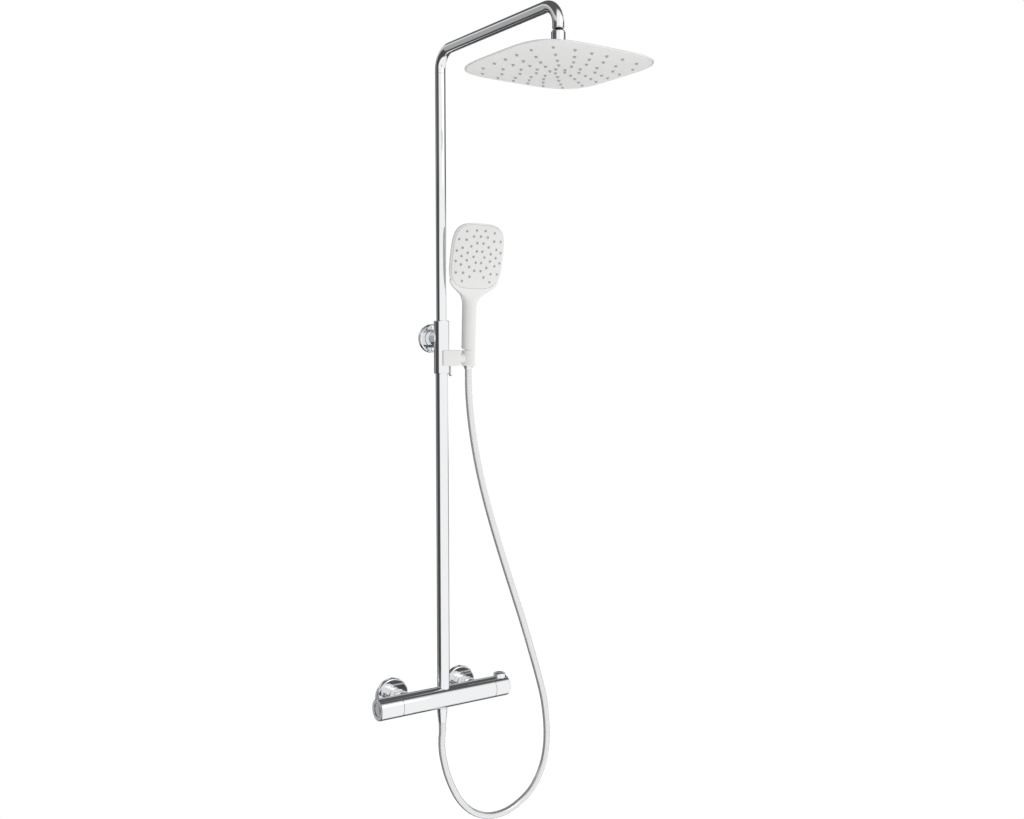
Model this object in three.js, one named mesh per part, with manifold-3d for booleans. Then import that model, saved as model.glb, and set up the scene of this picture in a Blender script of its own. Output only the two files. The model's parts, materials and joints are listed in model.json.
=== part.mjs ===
// A rainfall shower column: a thermostatic bar valve on two wall unions, a telescopic riser held by a wall
// bracket, a swivelling arm with a square overhead shower on a ball joint, and a hand shower on its hose.
// Millimetres. X runs along the wall, +Y goes into the wall, +Z is up. The origin is on the wall, midway
// between the two unions, at the height of the valve's axis.
import * as THREE from 'three';
import { mergeVertices } from 'three/addons/utils/BufferGeometryUtils.js';
import Module from 'manifold-3d';

const wasm = await Module();
wasm.setup();

// ---------------------------------------------------------------- driving dimensions
const FIT = 0.3; // gap between two pieces that touch or slide
const PLAY = 0.6; // gap between two pieces that turn past each other in sight
const ROUND = 20; // facets round a large turned piece
const SMALL_ROUND = 12; // facets round a small one

const WALL_TO_AXIS = 68; // wall to the axis that the bar and the riser share
const INLET_SPACING = 150;

const BAR_RADIUS = 20;
const BAR_LENGTH = INLET_SPACING + 130;
const FLOW_KNOB_LENGTH = 45;
const TEMPERATURE_KNOB_LENGTH = 32;
const KNOB_WALL = 2.8;
const KNOB_CAP_RADIUS = 12;
const KNOB_CAP_THICKNESS = 2.6;
const KNOB_WEB = 8;
const KNOB_CHAMFER = 1.2;
const SPINDLE_TIP = KNOB_CAP_THICKNESS + 5; // from the knob's end face in to the spindle's tip
const CARTRIDGE_RADIUS = 14;
const FLOW_CARTRIDGE_LENGTH = 47;
const THERMOSTAT_LENGTH = 62;
const CARTRIDGE_NOSE_RADIUS = 10;
const CARTRIDGE_NOSE_LENGTH = 14;
const SPINDLE_RADIUS = 4;
const WATERWAY_RADIUS = 5;

const BUTTON_RADIUS = 11.5;
const BUTTON_PROUD = 6.3; // how far the button's crown stands above the bar
const BUTTON_FROM_END = 13;
const BUTTON_WALL = 2;
const BUTTON_TRAVEL = 2.5;
const SPRING_WIRE = 0.6;
const SPRING_RADIUS = 3.2;
const SPRING_TURNS = 3.5;

const INLET_STUB_RADIUS = 11;
const INLET_STUB_REACH = BAR_RADIUS + 10; // bar axis to the stub's sealing face
const INLET_STUB_LIP = 3; // the flange that the union nut pulls on
const INLET_BORE_RADIUS = 8;
const UNION_NUT_FLATS = 31;
const UNION_NUT_LENGTH = 23;
const UNION_NUT_LIP = 2.5;
const UNION_NUT_START = INLET_STUB_REACH - INLET_STUB_LIP - FIT - UNION_NUT_LIP;
const UNION_NUT_END = UNION_NUT_START + UNION_NUT_LENGTH;
const UNION_THREAD_RADIUS = 13.1;
const UNION_OFFSET = 8; // eccentric offset of the union's wall thread
const WALL_THREAD_RADIUS = 10.4;
const WALL_THREAD_REACH = 18; // how far the wall thread goes into the wall
const UNION_FLANGE = 4; // the step between the union's two offset barrels
const WASHER_THICKNESS = 2;
const FILTER_RADIUS = 12;
const FILTER_BORE_RADIUS = 7;
const CHECK_VALVE_LENGTH = 10;
const CHECK_VALVE_BORE_RADIUS = 4;
const ROSETTE_RADIUS = 33;
const ROSETTE_DEPTH = 10;
const ROSETTE_WALL = 2.5;
const ROSETTE_COLLAR_RADIUS = 17;

const OUTLET_BACK = 5; // the hose outlet sits this far behind the bar's axis
const OUTLET_THREAD_RADIUS = 7.4;
const OUTLET_REACH = BAR_RADIUS + 14; // bar axis to the end of the outlet nipple
const OUTLET_FLARE = 1.6; // how far the round seat for the hose nut stands below the bar
const ROOT = 6; // how far a stub reaches into the wall it grows from

const PIPE_WALL = 1.5;
const LOWER_RISER_RADIUS = 11.5;
const UPPER_RISER_RADIUS = LOWER_RISER_RADIUS - PIPE_WALL - 0.5; // slides in the lower riser
const RISER_SOCKET = 12; // how deep the lower riser sits in the valve
const LOWER_RISER_TOP = 650;
const UPPER_RISER_BOTTOM = 400;
const SPIGOT_LENGTH = 40;

const SLEEVE_RADIUS = LOWER_RISER_RADIUS + 2.75;
const SLEEVE_BOTTOM = 604;
const SLEEVE_TOP = 701;
const SLEEVE_LIP = 11;
const LIP_SEAL_LENGTH = 4;

const BRACKET_HEIGHT = 669;
const POST_RADIUS = 16.5;
const POST_REACH = 33; // riser axis to the end of the post
const BRACKET_ROSETTE_RADIUS = 26.5;
const BRACKET_ROSETTE_DEPTH = 9;
const BRACKET_BACK = 40; // riser axis to the back of the bracket's rosette
const BRACKET_BOSS_RADIUS = 11;
const POST_FLOOR = SLEEVE_RADIUS + 3; // riser axis to the bottom of the post's bore
const STUD_RADIUS = 6;
const GRUB_SCREW_RADIUS = 2.5;
const GRUB_SCREW_LENGTH = 4.5;
const GRUB_SCREW_PLACE = (POST_FLOOR + POST_REACH) / 2;

const HOLDER_HEIGHT = 632.5;
const HOLDER_TALL = 29;
const HOLDER_LEFT = -7; // the clip wraps the sleeve's front from here
const HOLDER_JOINT = 32; // where the fixed arm ends and the tilting cup starts
const HOLDER_FRONT = SLEEVE_RADIUS + 3.25;
const HOLDER_BACK = 12;
const CUP_OFFSET = 58.5;
const CUP_WALL = 2.1;
const CUP_NECK_RADIUS = 9;
const CUP_SLOT = 14.6;
const PIVOT_RADIUS = 3;
const PIVOT_REACH = 8; // how far the pivot pin goes into the cup

const LEVER_LEFT = SLEEVE_RADIUS + 2.45;
const LEVER_THICK = 3;
const LEVER_WIDE = 7;
const LEVER_DROP = 19; // how far the lever hangs below the arm
const LEVER_EYE = 3;
const LEVER_SWING_ROOM = 6; // space in the arm for the lever's outward swing
const LEVER_PIN_RADIUS = 1.4;
const LEVER_PIN_COVER = 5; // material in front of the pin's end
const LEVER_PIN_RISE = 5; // the pin's height above the arm's underside
const LEVER_TOE = 2;

const ARM_HEIGHT = 1190;
const ARM_REACH = 353;
const ARM_BEND = 34;
const BEND_STEPS = 7;
const UPPER_RISER_TOP = ARM_HEIGHT - ARM_BEND - 6;
const DROP_END = UPPER_RISER_TOP;

const BALL_HEIGHT = DROP_END - 23;
const BALL_RADIUS = 7;
const BALL_NECK_RADIUS = 3.8;
const SEAT_THICKNESS = 1.3;
const SOCKET_RADIUS = BALL_RADIUS + SEAT_THICKNESS + 2 * FIT + 0.1;
const BALL_NUT_RADIUS = SOCKET_RADIUS + 2.4;
const BALL_NUT_TOP = BALL_HEIGHT + 18;
const BALL_NUT_BOTTOM = BALL_HEIGHT - 15;
const BALL_NUT_THREAD = 2; // depth of the nut's threaded bore below its outside
const BALL_STEM_CLEARANCE = 2.3; // width of the nut's rim round the stem's opening

const HEAD_SIZE = 250;
const HEAD_EXPONENT = 4.2;
const HEAD_FACE = BALL_HEIGHT - 38;
const HEAD_RIM = 6;
const HEAD_CROWN = 6; // how far the middle of the spray face hangs below its rim
const HEAD_SKIN = 2.2;
const HEAD_DOME = 8;
const HEAD_DOME_RADIUS = HEAD_SIZE / 2 - 33;
const HEAD_HUB_RADIUS = 16;
const HEAD_HUB_SINK = 6; // how far the hub goes down through the shell
const STRAINER_RADIUS = 6.5;
const STRAINER_BORE_RADIUS = 3;
const STRAINER_THICKNESS = 1.5;
const SPRAY_PLATE = 2;
const NOZZLE_MAT = 1.2;

const HANDSET_WIDTH = 114;
const HANDSET_HEIGHT = 122;
const HANDSET_DEPTH = 17;
const HANDSET_TILT = 12; // degrees that the face looks down
const HANDSET_FORWARD = 37.5;
const HANDSET_CENTRE = 817.5;
const HANDLE_RADIUS = 13;
const HANDLE_SWELL = 1.5; // how much wider the handle is at its top
const HANDLE_TOP = 768;
const HANDLE_LEAN = 3;
const HANDSET_WALL = 2.2;
const HANDSET_EXPONENT = 3.6;
const HANDSET_BACK_EXPONENT = 3;
const HANDSET_POINTS = 40;
const HANDSET_INLET_RADIUS = 6.4;
const HANDSET_INLET_DEPTH = 15;
const HANDLE_BORE_RADIUS = 4.5;

const CONE_TOP_RADIUS = 10.2;
const CUP_RADIUS = CONE_TOP_RADIUS + FIT + CUP_WALL;
const CONE_BOTTOM_RADIUS = CONE_TOP_RADIUS - 1;
const CONE_LENGTH = 31;
const CONE_NECK_RADIUS = 7.6;
const CONE_NECK_LENGTH = 4;
const HOSE_NUT_TOP_RADIUS = 9.3;
const HOSE_NUT_LENGTH = 28;
const HOSE_RADIUS = 6.5;
const HOSE_SIDES = 10;
const HOSE_STEP = 26;
const HOSE_SPLIT = 110; // height below the cup's pivot where the hose's upper stretch starts

// ---------------------------------------------------------------- materials
function finish(color, roughness, metalness) {
  return new THREE.MeshStandardMaterial({ color, roughness, metalness });
}

const chrome = finish(0xd4d6d8, 0.08, 1);
const white = finish(0xeeeeec, 0.3, 0);
const faceWhite = finish(0xe2e2e0, 0.4, 0);
const nozzleGrey = finish(0xa9aaa9, 0.6, 0);
const brass = finish(0xb5964f, 0.35, 1);
const rubber = finish(0x1d1d1e, 0.8, 0);
const cartridgePlastic = finish(0x5b6067, 0.5, 0);
const steel = finish(0xb9bbbd, 0.3, 1);
const hoseSilver = finish(0xc9cbcd, 0.3, 0.2);

// ---------------------------------------------------------------- shaping helpers
function signedVolume(position, index) {
  const a = new THREE.Vector3();
  const b = new THREE.Vector3();
  const c = new THREE.Vector3();
  let volume = 0;
  for (let i = 0; i < index.length; i += 3) {
    a.fromBufferAttribute(position, index[i]);
    b.fromBufferAttribute(position, index[i + 1]);
    c.fromBufferAttribute(position, index[i + 2]);
    volume += a.dot(b.cross(c)) / 6;
  }
  return volume;
}

// Shares the corners, drops triangles that have no area and turns the faces outwards.
function closed(geometry) {
  const bare = geometry.clone();
  bare.deleteAttribute('normal');
  bare.deleteAttribute('uv');
  const merged = mergeVertices(bare, 1e-4);
  const corners = merged.index.array;
  const index = [];
  for (let i = 0; i < corners.length; i += 3) {
    const [a, b, c] = [corners[i], corners[i + 1], corners[i + 2]];
    if (a !== b && b !== c && c !== a) index.push(a, b, c);
  }
  if (signedVolume(merged.attributes.position, index) < 0) index.reverse();
  merged.setIndex(index);
  return merged;
}

function toSolid(geometry) {
  const ready = closed(geometry);
  return new wasm.Manifold(new wasm.Mesh({
    numProp: 3,
    vertProperties: new Float32Array(ready.attributes.position.array),
    triVerts: new Uint32Array(ready.index.array),
  }));
}

function fromSolid(solid) {
  const mesh = solid.getMesh();
  const geometry = new THREE.BufferGeometry();
  geometry.setAttribute('position', new THREE.BufferAttribute(mesh.vertProperties, 3));
  geometry.setIndex(new THREE.BufferAttribute(mesh.triVerts, 1));
  return geometry;
}

function join(base, ...others) {
  return fromSolid(others.reduce((sum, other) => sum.add(toSolid(other)), toSolid(base)));
}

function cut(base, ...tools) {
  return fromSolid(tools.reduce((rest, tool) => rest.subtract(toSolid(tool)), toSolid(base)));
}

// Turns a profile of [radius, height] points about Z.
function turned(profile, facets = ROUND) {
  const points = profile.map(([radius, height]) => new THREE.Vector2(radius, height));
  return closed(new THREE.LatheGeometry(points, facets).rotateX(Math.PI / 2));
}

function rod(radius, low, high, facets = ROUND) {
  return turned([[0, low], [radius, low], [radius, high], [0, high]], facets);
}

function pipe(outer, inner, low, high, facets = ROUND) {
  return turned([[inner, low], [outer, low], [outer, high], [inner, high], [inner, low]], facets);
}

function alongX(geometry) {
  return geometry.rotateY(Math.PI / 2);
}

function alongY(geometry) {
  return geometry.rotateX(-Math.PI / 2);
}

function block(x, y, z) {
  const geometry = new THREE.BoxGeometry(x[1] - x[0], y[1] - y[0], z[1] - z[0]);
  return geometry.translate((x[0] + x[1]) / 2, (y[0] + y[1]) / 2, (z[0] + z[1]) / 2);
}

function arcPoints(radius, centre, from, to, count) {
  return Array.from({ length: count + 1 }, (_, i) => {
    const angle = THREE.MathUtils.degToRad(from + ((to - from) * i) / count);
    return [radius * Math.cos(angle), centre + radius * Math.sin(angle)];
  });
}

// A square with swollen sides and soft corners.
function squircle(width, height, exponent, count) {
  const points = Array.from({ length: count }, (_, i) => {
    const angle = (2 * Math.PI * (i + 0.5)) / count;
    const across = Math.abs(Math.cos(angle) / (width / 2)) ** exponent;
    const along = Math.abs(Math.sin(angle) / (height / 2)) ** exponent;
    const radius = (across + along) ** (-1 / exponent);
    return new THREE.Vector2(radius * Math.cos(angle), radius * Math.sin(angle));
  });
  return new THREE.Shape(points);
}

function slab(shape, low, high) {
  return new THREE.ExtrudeGeometry(shape, { depth: high - low, bevelEnabled: false }).translate(0, 0, low);
}

function hexagon(flats) {
  const radius = flats / Math.sqrt(3);
  const corners = Array.from({ length: 6 }, (_, i) => {
    const angle = (Math.PI * i) / 3;
    return new THREE.Vector2(radius * Math.cos(angle), radius * Math.sin(angle));
  });
  return new THREE.Shape(corners);
}

// A centre line given by its stations, so that a straight stretch takes one step and a bend several.
class PipePath extends THREE.Curve {
  constructor(stations) {
    super();
    this.stations = stations;
  }

  station(u) {
    return this.stations[Math.round(u * (this.stations.length - 1))];
  }

  getPointAt(u, target = new THREE.Vector3()) {
    return target.copy(this.station(u).point);
  }

  getTangentAt(u, target = new THREE.Vector3()) {
    return target.copy(this.station(u).tangent);
  }
}

// A coil spring's centre line, standing along Z.
class Helix extends THREE.Curve {
  constructor(radius, low, high, turns) {
    super();
    Object.assign(this, { radius, low, high, turns });
  }

  getPoint(t, target = new THREE.Vector3()) {
    const angle = 2 * Math.PI * this.turns * t;
    const height = this.low + (this.high - this.low) * t;
    return target.set(this.radius * Math.cos(angle), this.radius * Math.sin(angle), height);
  }
}

// The part of a longer curve between two shares of its length.
class Stretch extends THREE.Curve {
  constructor(whole, from, to) {
    super();
    Object.assign(this, { whole, from, to });
  }

  getPoint(t, target = new THREE.Vector3()) {
    return this.whole.getPointAt(this.from + (this.to - this.from) * t, target);
  }
}

function ring(outer, inner, facets) {
  const shape = new THREE.Shape().absarc(0, 0, outer, 0, 2 * Math.PI, false);
  if (inner > 0) shape.holes.push(new THREE.Path().absarc(0, 0, inner, 0, 2 * Math.PI, true));
  shape.facets = facets;
  return shape;
}

function swept(shape, path, steps) {
  const settings = { extrudePath: path, steps, curveSegments: shape.facets / 2, bevelEnabled: false };
  return closed(new THREE.ExtrudeGeometry(shape, settings));
}

function group(x = 0, y = 0, z = 0) {
  const holder = new THREE.Group();
  holder.position.set(x, y, z);
  return holder;
}

function add(parent, name, geometry, material) {
  const mesh = new THREE.Mesh(geometry, material);
  mesh.name = name;
  parent.add(mesh);
  return mesh;
}

// ---------------------------------------------------------------- valve
const barLeft = -BAR_LENGTH / 2;
const barRight = BAR_LENGTH / 2;
const bodyLeft = barLeft + FLOW_KNOB_LENGTH + PLAY;
const bodyRight = barRight - TEMPERATURE_KNOB_LENGTH - PLAY;
const inletX = INLET_SPACING / 2;
const riserSeat = BAR_RADIUS - RISER_SOCKET;

function valveBody() {
  const bar = alongX(rod(BAR_RADIUS, bodyLeft, bodyRight, ROUND + 8));
  const solids = [];
  const hollows = [
    alongX(rod(CARTRIDGE_RADIUS + FIT, bodyLeft - 1, bodyLeft + FLOW_CARTRIDGE_LENGTH + FIT)),
    alongX(rod(CARTRIDGE_RADIUS + FIT, bodyRight - THERMOSTAT_LENGTH - FIT, bodyRight + 1)),
    alongX(rod(WATERWAY_RADIUS, bodyLeft + 1, bodyRight - 1, SMALL_ROUND)),
    rod(LOWER_RISER_RADIUS + FIT, riserSeat - FIT, BAR_RADIUS + 1),
    rod(WATERWAY_RADIUS, 0, riserSeat, SMALL_ROUND),
  ];
  const lip = INLET_STUB_REACH - INLET_STUB_LIP;
  for (const x of [-inletX, inletX]) {
    const stub = turned([
      [0, BAR_RADIUS - ROOT],
      [INLET_STUB_RADIUS, BAR_RADIUS - ROOT],
      [INLET_STUB_RADIUS, lip],
      [UNION_THREAD_RADIUS - FIT, lip],
      [UNION_THREAD_RADIUS - FIT, INLET_STUB_REACH],
      [0, INLET_STUB_REACH],
    ]);
    solids.push(alongY(stub).translate(x, 0, 0));
    hollows.push(alongY(rod(INLET_BORE_RADIUS, 0, INLET_STUB_REACH + 1)).translate(x, 0, 0));
  }
  const outlet = rod(OUTLET_THREAD_RADIUS, -OUTLET_REACH, -BAR_RADIUS + ROOT, SMALL_ROUND);
  const outletFace = rod(HOSE_NUT_TOP_RADIUS, -BAR_RADIUS - OUTLET_FLARE, -BAR_RADIUS + ROOT);
  const outletBore = rod(WATERWAY_RADIUS - 1, -OUTLET_REACH - 1, 0, SMALL_ROUND);
  solids.push(outlet.translate(0, OUTLET_BACK, 0), outletFace.translate(0, OUTLET_BACK, 0));
  hollows.push(outletBore.translate(0, OUTLET_BACK, 0));
  return cut(join(bar, ...solids), ...hollows);
}

// A knob turned about X: an open shell towards the bar, a web that takes the spindle and a capped end.
// side is -1 on the left and 1 on the right; the profile runs outwards from the bar's middle.
function knobShell(inner, outer, side) {
  const wall = BAR_RADIUS - KNOB_WALL;
  const webOut = outer - SPINDLE_TIP;
  const profile = [
    [wall, inner],
    [BAR_RADIUS, inner],
    [BAR_RADIUS, outer - KNOB_CHAMFER],
    [BAR_RADIUS - KNOB_CHAMFER, outer],
    [KNOB_CAP_RADIUS + FIT, outer],
    [KNOB_CAP_RADIUS + FIT, webOut],
    [SPINDLE_RADIUS + FIT, webOut],
    [SPINDLE_RADIUS + FIT, webOut - KNOB_WEB],
    [wall, webOut - KNOB_WEB],
    [wall, inner],
  ];
  return alongX(turned(profile.map(([radius, place]) => [radius, side * place]), ROUND + 8));
}

function knobCap(outer, side) {
  const bevel = 0.8;
  const profile = [[0, outer - KNOB_CAP_THICKNESS], [KNOB_CAP_RADIUS, outer - KNOB_CAP_THICKNESS],
    [KNOB_CAP_RADIUS, outer - bevel], [KNOB_CAP_RADIUS - bevel, outer], [0, outer]];
  return alongX(turned(profile.map(([radius, place]) => [radius, side * place])));
}

function cartridge(deep, face, side) {
  const nose = face + CARTRIDGE_NOSE_LENGTH;
  const bore = SPINDLE_RADIUS + FIT;
  const profile = [[bore, deep], [CARTRIDGE_RADIUS, deep], [CARTRIDGE_RADIUS, face],
    [CARTRIDGE_NOSE_RADIUS, face], [CARTRIDGE_NOSE_RADIUS, nose], [bore, nose], [bore, deep]];
  return alongX(turned(profile.map(([radius, place]) => [radius, side * place])));
}

function spindle(deep, outer, side) {
  const [low, high] = [side * deep, side * (outer - SPINDLE_TIP)].sort((a, b) => a - b);
  return alongX(rod(SPINDLE_RADIUS, low, high, SMALL_ROUND));
}

function addValve(column) {
  add(column, 'valve_body', valveBody(), chrome);

  const leftEnd = -barLeft;
  const leftFace = -bodyLeft;
  add(column, 'flow_knob', knobShell(leftFace + PLAY, leftEnd, -1), chrome);
  add(column, 'flow_knob_cap', knobCap(leftEnd, -1), chrome);
  add(column, 'flow_cartridge', cartridge(leftFace - FLOW_CARTRIDGE_LENGTH, leftFace, -1), cartridgePlastic);
  add(column, 'flow_spindle', spindle(leftFace - FLOW_CARTRIDGE_LENGTH / 2, leftEnd, -1), brass);

  const buttonX = barRight - BUTTON_FROM_END;
  const pocketFloor = KNOB_CAP_RADIUS + FIT;
  const crown = BAR_RADIUS + BUTTON_PROUD;
  const pocket = rod(BUTTON_RADIUS + FIT, pocketFloor, crown).translate(buttonX, 0, 0);
  const knob = cut(knobShell(bodyRight + PLAY, barRight, 1), pocket);
  add(column, 'temperature_knob', knob, chrome);
  add(column, 'temperature_knob_cap', knobCap(barRight, 1), chrome);
  const thermostat = cartridge(bodyRight - THERMOSTAT_LENGTH, bodyRight, 1);
  add(column, 'thermostat_cartridge', thermostat, cartridgePlastic);
  const thermostatSpindle = spindle(bodyRight - THERMOSTAT_LENGTH / 2, barRight, 1);
  add(column, 'thermostat_spindle', thermostatSpindle, brass);
  const ringIn = CARTRIDGE_NOSE_RADIUS + FIT;
  const stopRing = pipe(ringIn + 3.2, ringIn, bodyRight + 1, bodyRight + 4);
  add(column, 'temperature_stop_ring', alongX(stopRing), cartridgePlastic);

  const skirt = pocketFloor + BUTTON_TRAVEL + FIT;
  const roof = crown - BUTTON_WALL - 1;
  const hollow = BUTTON_RADIUS - BUTTON_WALL;
  const soft = [[0, 2.2], [0.7, 1.1], [3, 0.3]]; // the crown's rounded edge: [inwards, down]
  const edge = soft.map(([inwards, down]) => [BUTTON_RADIUS - inwards, crown - down]);
  const button = turned([[hollow, skirt], [BUTTON_RADIUS, skirt], ...edge, [0, crown], [0, roof],
    [hollow, roof], [hollow, skirt]]);
  add(column, 'safety_button', button, chrome).position.x = buttonX;
  const gap = SPRING_WIRE + FIT;
  const coil = new Helix(SPRING_RADIUS, pocketFloor + gap, roof - BUTTON_TRAVEL - gap, SPRING_TURNS);
  add(column, 'button_spring', swept(ring(SPRING_WIRE, 0, 6), coil, 30), steel).position.x = buttonX;
}

// ---------------------------------------------------------------- wall unions
function unionNut() {
  const grip = UNION_NUT_START + UNION_NUT_LIP;
  return cut(
    slab(hexagon(UNION_NUT_FLATS), UNION_NUT_START, UNION_NUT_END),
    rod(INLET_STUB_RADIUS + FIT, UNION_NUT_START - 1, UNION_NUT_END + 1),
    rod(UNION_THREAD_RADIUS + FIT, grip, UNION_NUT_END + 1),
  );
}

function wallUnion(offset) {
  const face = INLET_STUB_REACH + WASHER_THICKNESS + 2 * FIT;
  const plate = WALL_TO_AXIS - ROSETTE_DEPTH + ROSETTE_WALL + FIT;
  const eccentric = WALL_TO_AXIS + WALL_THREAD_REACH;
  const outside = join(
    rod(UNION_THREAD_RADIUS, face, plate + UNION_FLANGE),
    rod(UNION_OFFSET + WALL_THREAD_RADIUS, plate, plate + UNION_FLANGE),
    rod(WALL_THREAD_RADIUS, plate + 3, eccentric).translate(0, offset, 0),
  );
  return cut(
    outside,
    rod(INLET_BORE_RADIUS, face - 1, plate + 2.5),
    rod(INLET_BORE_RADIUS - 1.5, plate + 1, eccentric + 1).translate(0, offset, 0),
  );
}

function rosette() {
  const front = WALL_TO_AXIS - ROSETTE_DEPTH;
  const collar = UNION_NUT_END + PLAY;
  const hole = UNION_THREAD_RADIUS + FIT;
  const inside = ROSETTE_RADIUS - ROSETTE_WALL;
  const roof = front + ROSETTE_WALL;
  const soft = [[2, 0], [0.6, 0.8], [0, 2.5]]; // the rim's rounded edge: [inwards, back]
  const edge = soft.map(([inwards, back]) => [ROSETTE_RADIUS - inwards, front + back]);
  return turned([[hole, collar], [ROSETTE_COLLAR_RADIUS, collar], [ROSETTE_COLLAR_RADIUS, front], ...edge,
    [ROSETTE_RADIUS, WALL_TO_AXIS], [inside, WALL_TO_AXIS], [inside, roof], [hole, roof], [hole, collar]],
  ROUND + 8);
}

function addUnions(column) {
  for (const [side, x, turn] of [['hot', -inletX, 1], ['cold', inletX, -1]]) {
    // local Z points into the wall here
    const inlet = group(x, 0, 0);
    inlet.rotation.x = -Math.PI / 2;
    column.add(inlet);
    const washerLow = INLET_STUB_REACH + FIT;
    const washerHigh = washerLow + WASHER_THICKNESS;
    const washer = pipe(FILTER_RADIUS, FILTER_BORE_RADIUS, washerLow, washerHigh, SMALL_ROUND);
    add(inlet, `${side}_union_nut`, unionNut(), chrome);
    add(inlet, `${side}_filter_washer`, washer, rubber);
    add(inlet, `${side}_wall_union`, wallUnion(turn * UNION_OFFSET), brass);
    add(inlet, `${side}_rosette`, rosette(), chrome);
    const valveEnd = INLET_STUB_REACH - 2;
    const checkValve = pipe(INLET_BORE_RADIUS - FIT, CHECK_VALVE_BORE_RADIUS, valveEnd - CHECK_VALVE_LENGTH,
      valveEnd, SMALL_ROUND);
    add(inlet, `${side}_check_valve`, checkValve, cartridgePlastic);
  }
}

// ---------------------------------------------------------------- riser, sleeve and wall bracket
function riserSleeve() {
  const narrow = UPPER_RISER_RADIUS + FIT;
  const wide = LOWER_RISER_RADIUS + FIT;
  const lip = SLEEVE_TOP - SLEEVE_LIP;
  const soft = 1.5;
  const tube = turned([[0, SLEEVE_BOTTOM], [SLEEVE_RADIUS - soft, SLEEVE_BOTTOM],
    [SLEEVE_RADIUS, SLEEVE_BOTTOM + soft], [SLEEVE_RADIUS, SLEEVE_TOP - soft],
    [SLEEVE_RADIUS - soft, SLEEVE_TOP], [0, SLEEVE_TOP]]);
  const post = alongY(rod(POST_RADIUS, 0, POST_REACH)).translate(0, 0, BRACKET_HEIGHT);
  const postBore = alongY(rod(BRACKET_BOSS_RADIUS + FIT, POST_FLOOR, POST_REACH + 1));
  const screwLow = BRACKET_HEIGHT - POST_RADIUS - 1;
  const screwHole = rod(GRUB_SCREW_RADIUS + FIT, screwLow, BRACKET_HEIGHT, SMALL_ROUND);
  return cut(
    join(tube, post),
    rod(wide, SLEEVE_BOTTOM - 1, lip),
    rod(narrow, lip - 1, SLEEVE_TOP + 1),
    postBore.translate(0, 0, BRACKET_HEIGHT),
    screwHole.translate(0, GRUB_SCREW_PLACE, 0),
  );
}

function bracketBase() {
  const bossEnd = POST_FLOOR + FIT;
  const plate = POST_REACH + FIT;
  const plateRadius = BRACKET_ROSETTE_RADIUS - ROSETTE_WALL - FIT;
  const studHole = STUD_RADIUS + FIT;
  const base = turned([[studHole, bossEnd], [BRACKET_BOSS_RADIUS, bossEnd], [BRACKET_BOSS_RADIUS, plate],
    [plateRadius, plate], [plateRadius, BRACKET_BACK], [studHole, BRACKET_BACK], [studHole, bossEnd]]);
  return alongY(base).translate(0, 0, BRACKET_HEIGHT);
}

function bracketRosette() {
  const front = BRACKET_BACK - BRACKET_ROSETTE_DEPTH;
  const hole = POST_RADIUS + FIT;
  const inside = BRACKET_ROSETTE_RADIUS - ROSETTE_WALL;
  const bevel = 2;
  const cup = turned([[hole, front], [BRACKET_ROSETTE_RADIUS - bevel, front],
    [BRACKET_ROSETTE_RADIUS, front + bevel],
    [BRACKET_ROSETTE_RADIUS, BRACKET_BACK], [inside, BRACKET_BACK], [inside, POST_REACH], [hole, POST_REACH],
    [hole, front]], ROUND + 8);
  return alongY(cup).translate(0, 0, BRACKET_HEIGHT);
}

function addRiser(column) {
  const bore = LOWER_RISER_RADIUS - PIPE_WALL;
  const upperBore = UPPER_RISER_RADIUS - PIPE_WALL;
  add(column, 'lower_riser', pipe(LOWER_RISER_RADIUS, bore, riserSeat, LOWER_RISER_TOP), chrome);
  const upperRiser = pipe(UPPER_RISER_RADIUS, upperBore, UPPER_RISER_BOTTOM, UPPER_RISER_TOP);
  add(column, 'upper_riser', upperRiser, chrome);
  add(column, 'riser_sleeve', riserSleeve(), chrome);
  const sealLow = LOWER_RISER_TOP + FIT;
  const sealHigh = sealLow + LIP_SEAL_LENGTH;
  const guideIn = UPPER_RISER_RADIUS + FIT;
  add(column, 'riser_lip_seal', pipe(LOWER_RISER_RADIUS, guideIn, sealLow, sealHigh), rubber);
  const guideTop = SLEEVE_TOP - SLEEVE_LIP - FIT;
  const bush = pipe(LOWER_RISER_RADIUS, guideIn, sealHigh + FIT, guideTop);
  add(column, 'riser_guide_bush', bush, cartridgePlastic);

  add(column, 'bracket_base', bracketBase(), steel);
  add(column, 'bracket_rosette', bracketRosette(), chrome);
  const stud = alongY(rod(STUD_RADIUS, POST_FLOOR + 5, WALL_TO_AXIS, SMALL_ROUND));
  add(column, 'wall_stud', stud.translate(0, 0, BRACKET_HEIGHT), steel);
  const screwTop = BRACKET_HEIGHT - BRACKET_BOSS_RADIUS - FIT;
  const screw = rod(GRUB_SCREW_RADIUS, screwTop - GRUB_SCREW_LENGTH, screwTop, SMALL_ROUND);
  add(column, 'grub_screw', screw, steel).position.y = GRUB_SCREW_PLACE;
}

// ---------------------------------------------------------------- hand shower holder
const holderLow = HOLDER_HEIGHT - HOLDER_TALL / 2;
const holderHigh = HOLDER_HEIGHT + HOLDER_TALL / 2;
const leverPinHeight = holderLow + LEVER_PIN_RISE;
const leverPinX = LEVER_LEFT + LEVER_THICK / 2;

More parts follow.
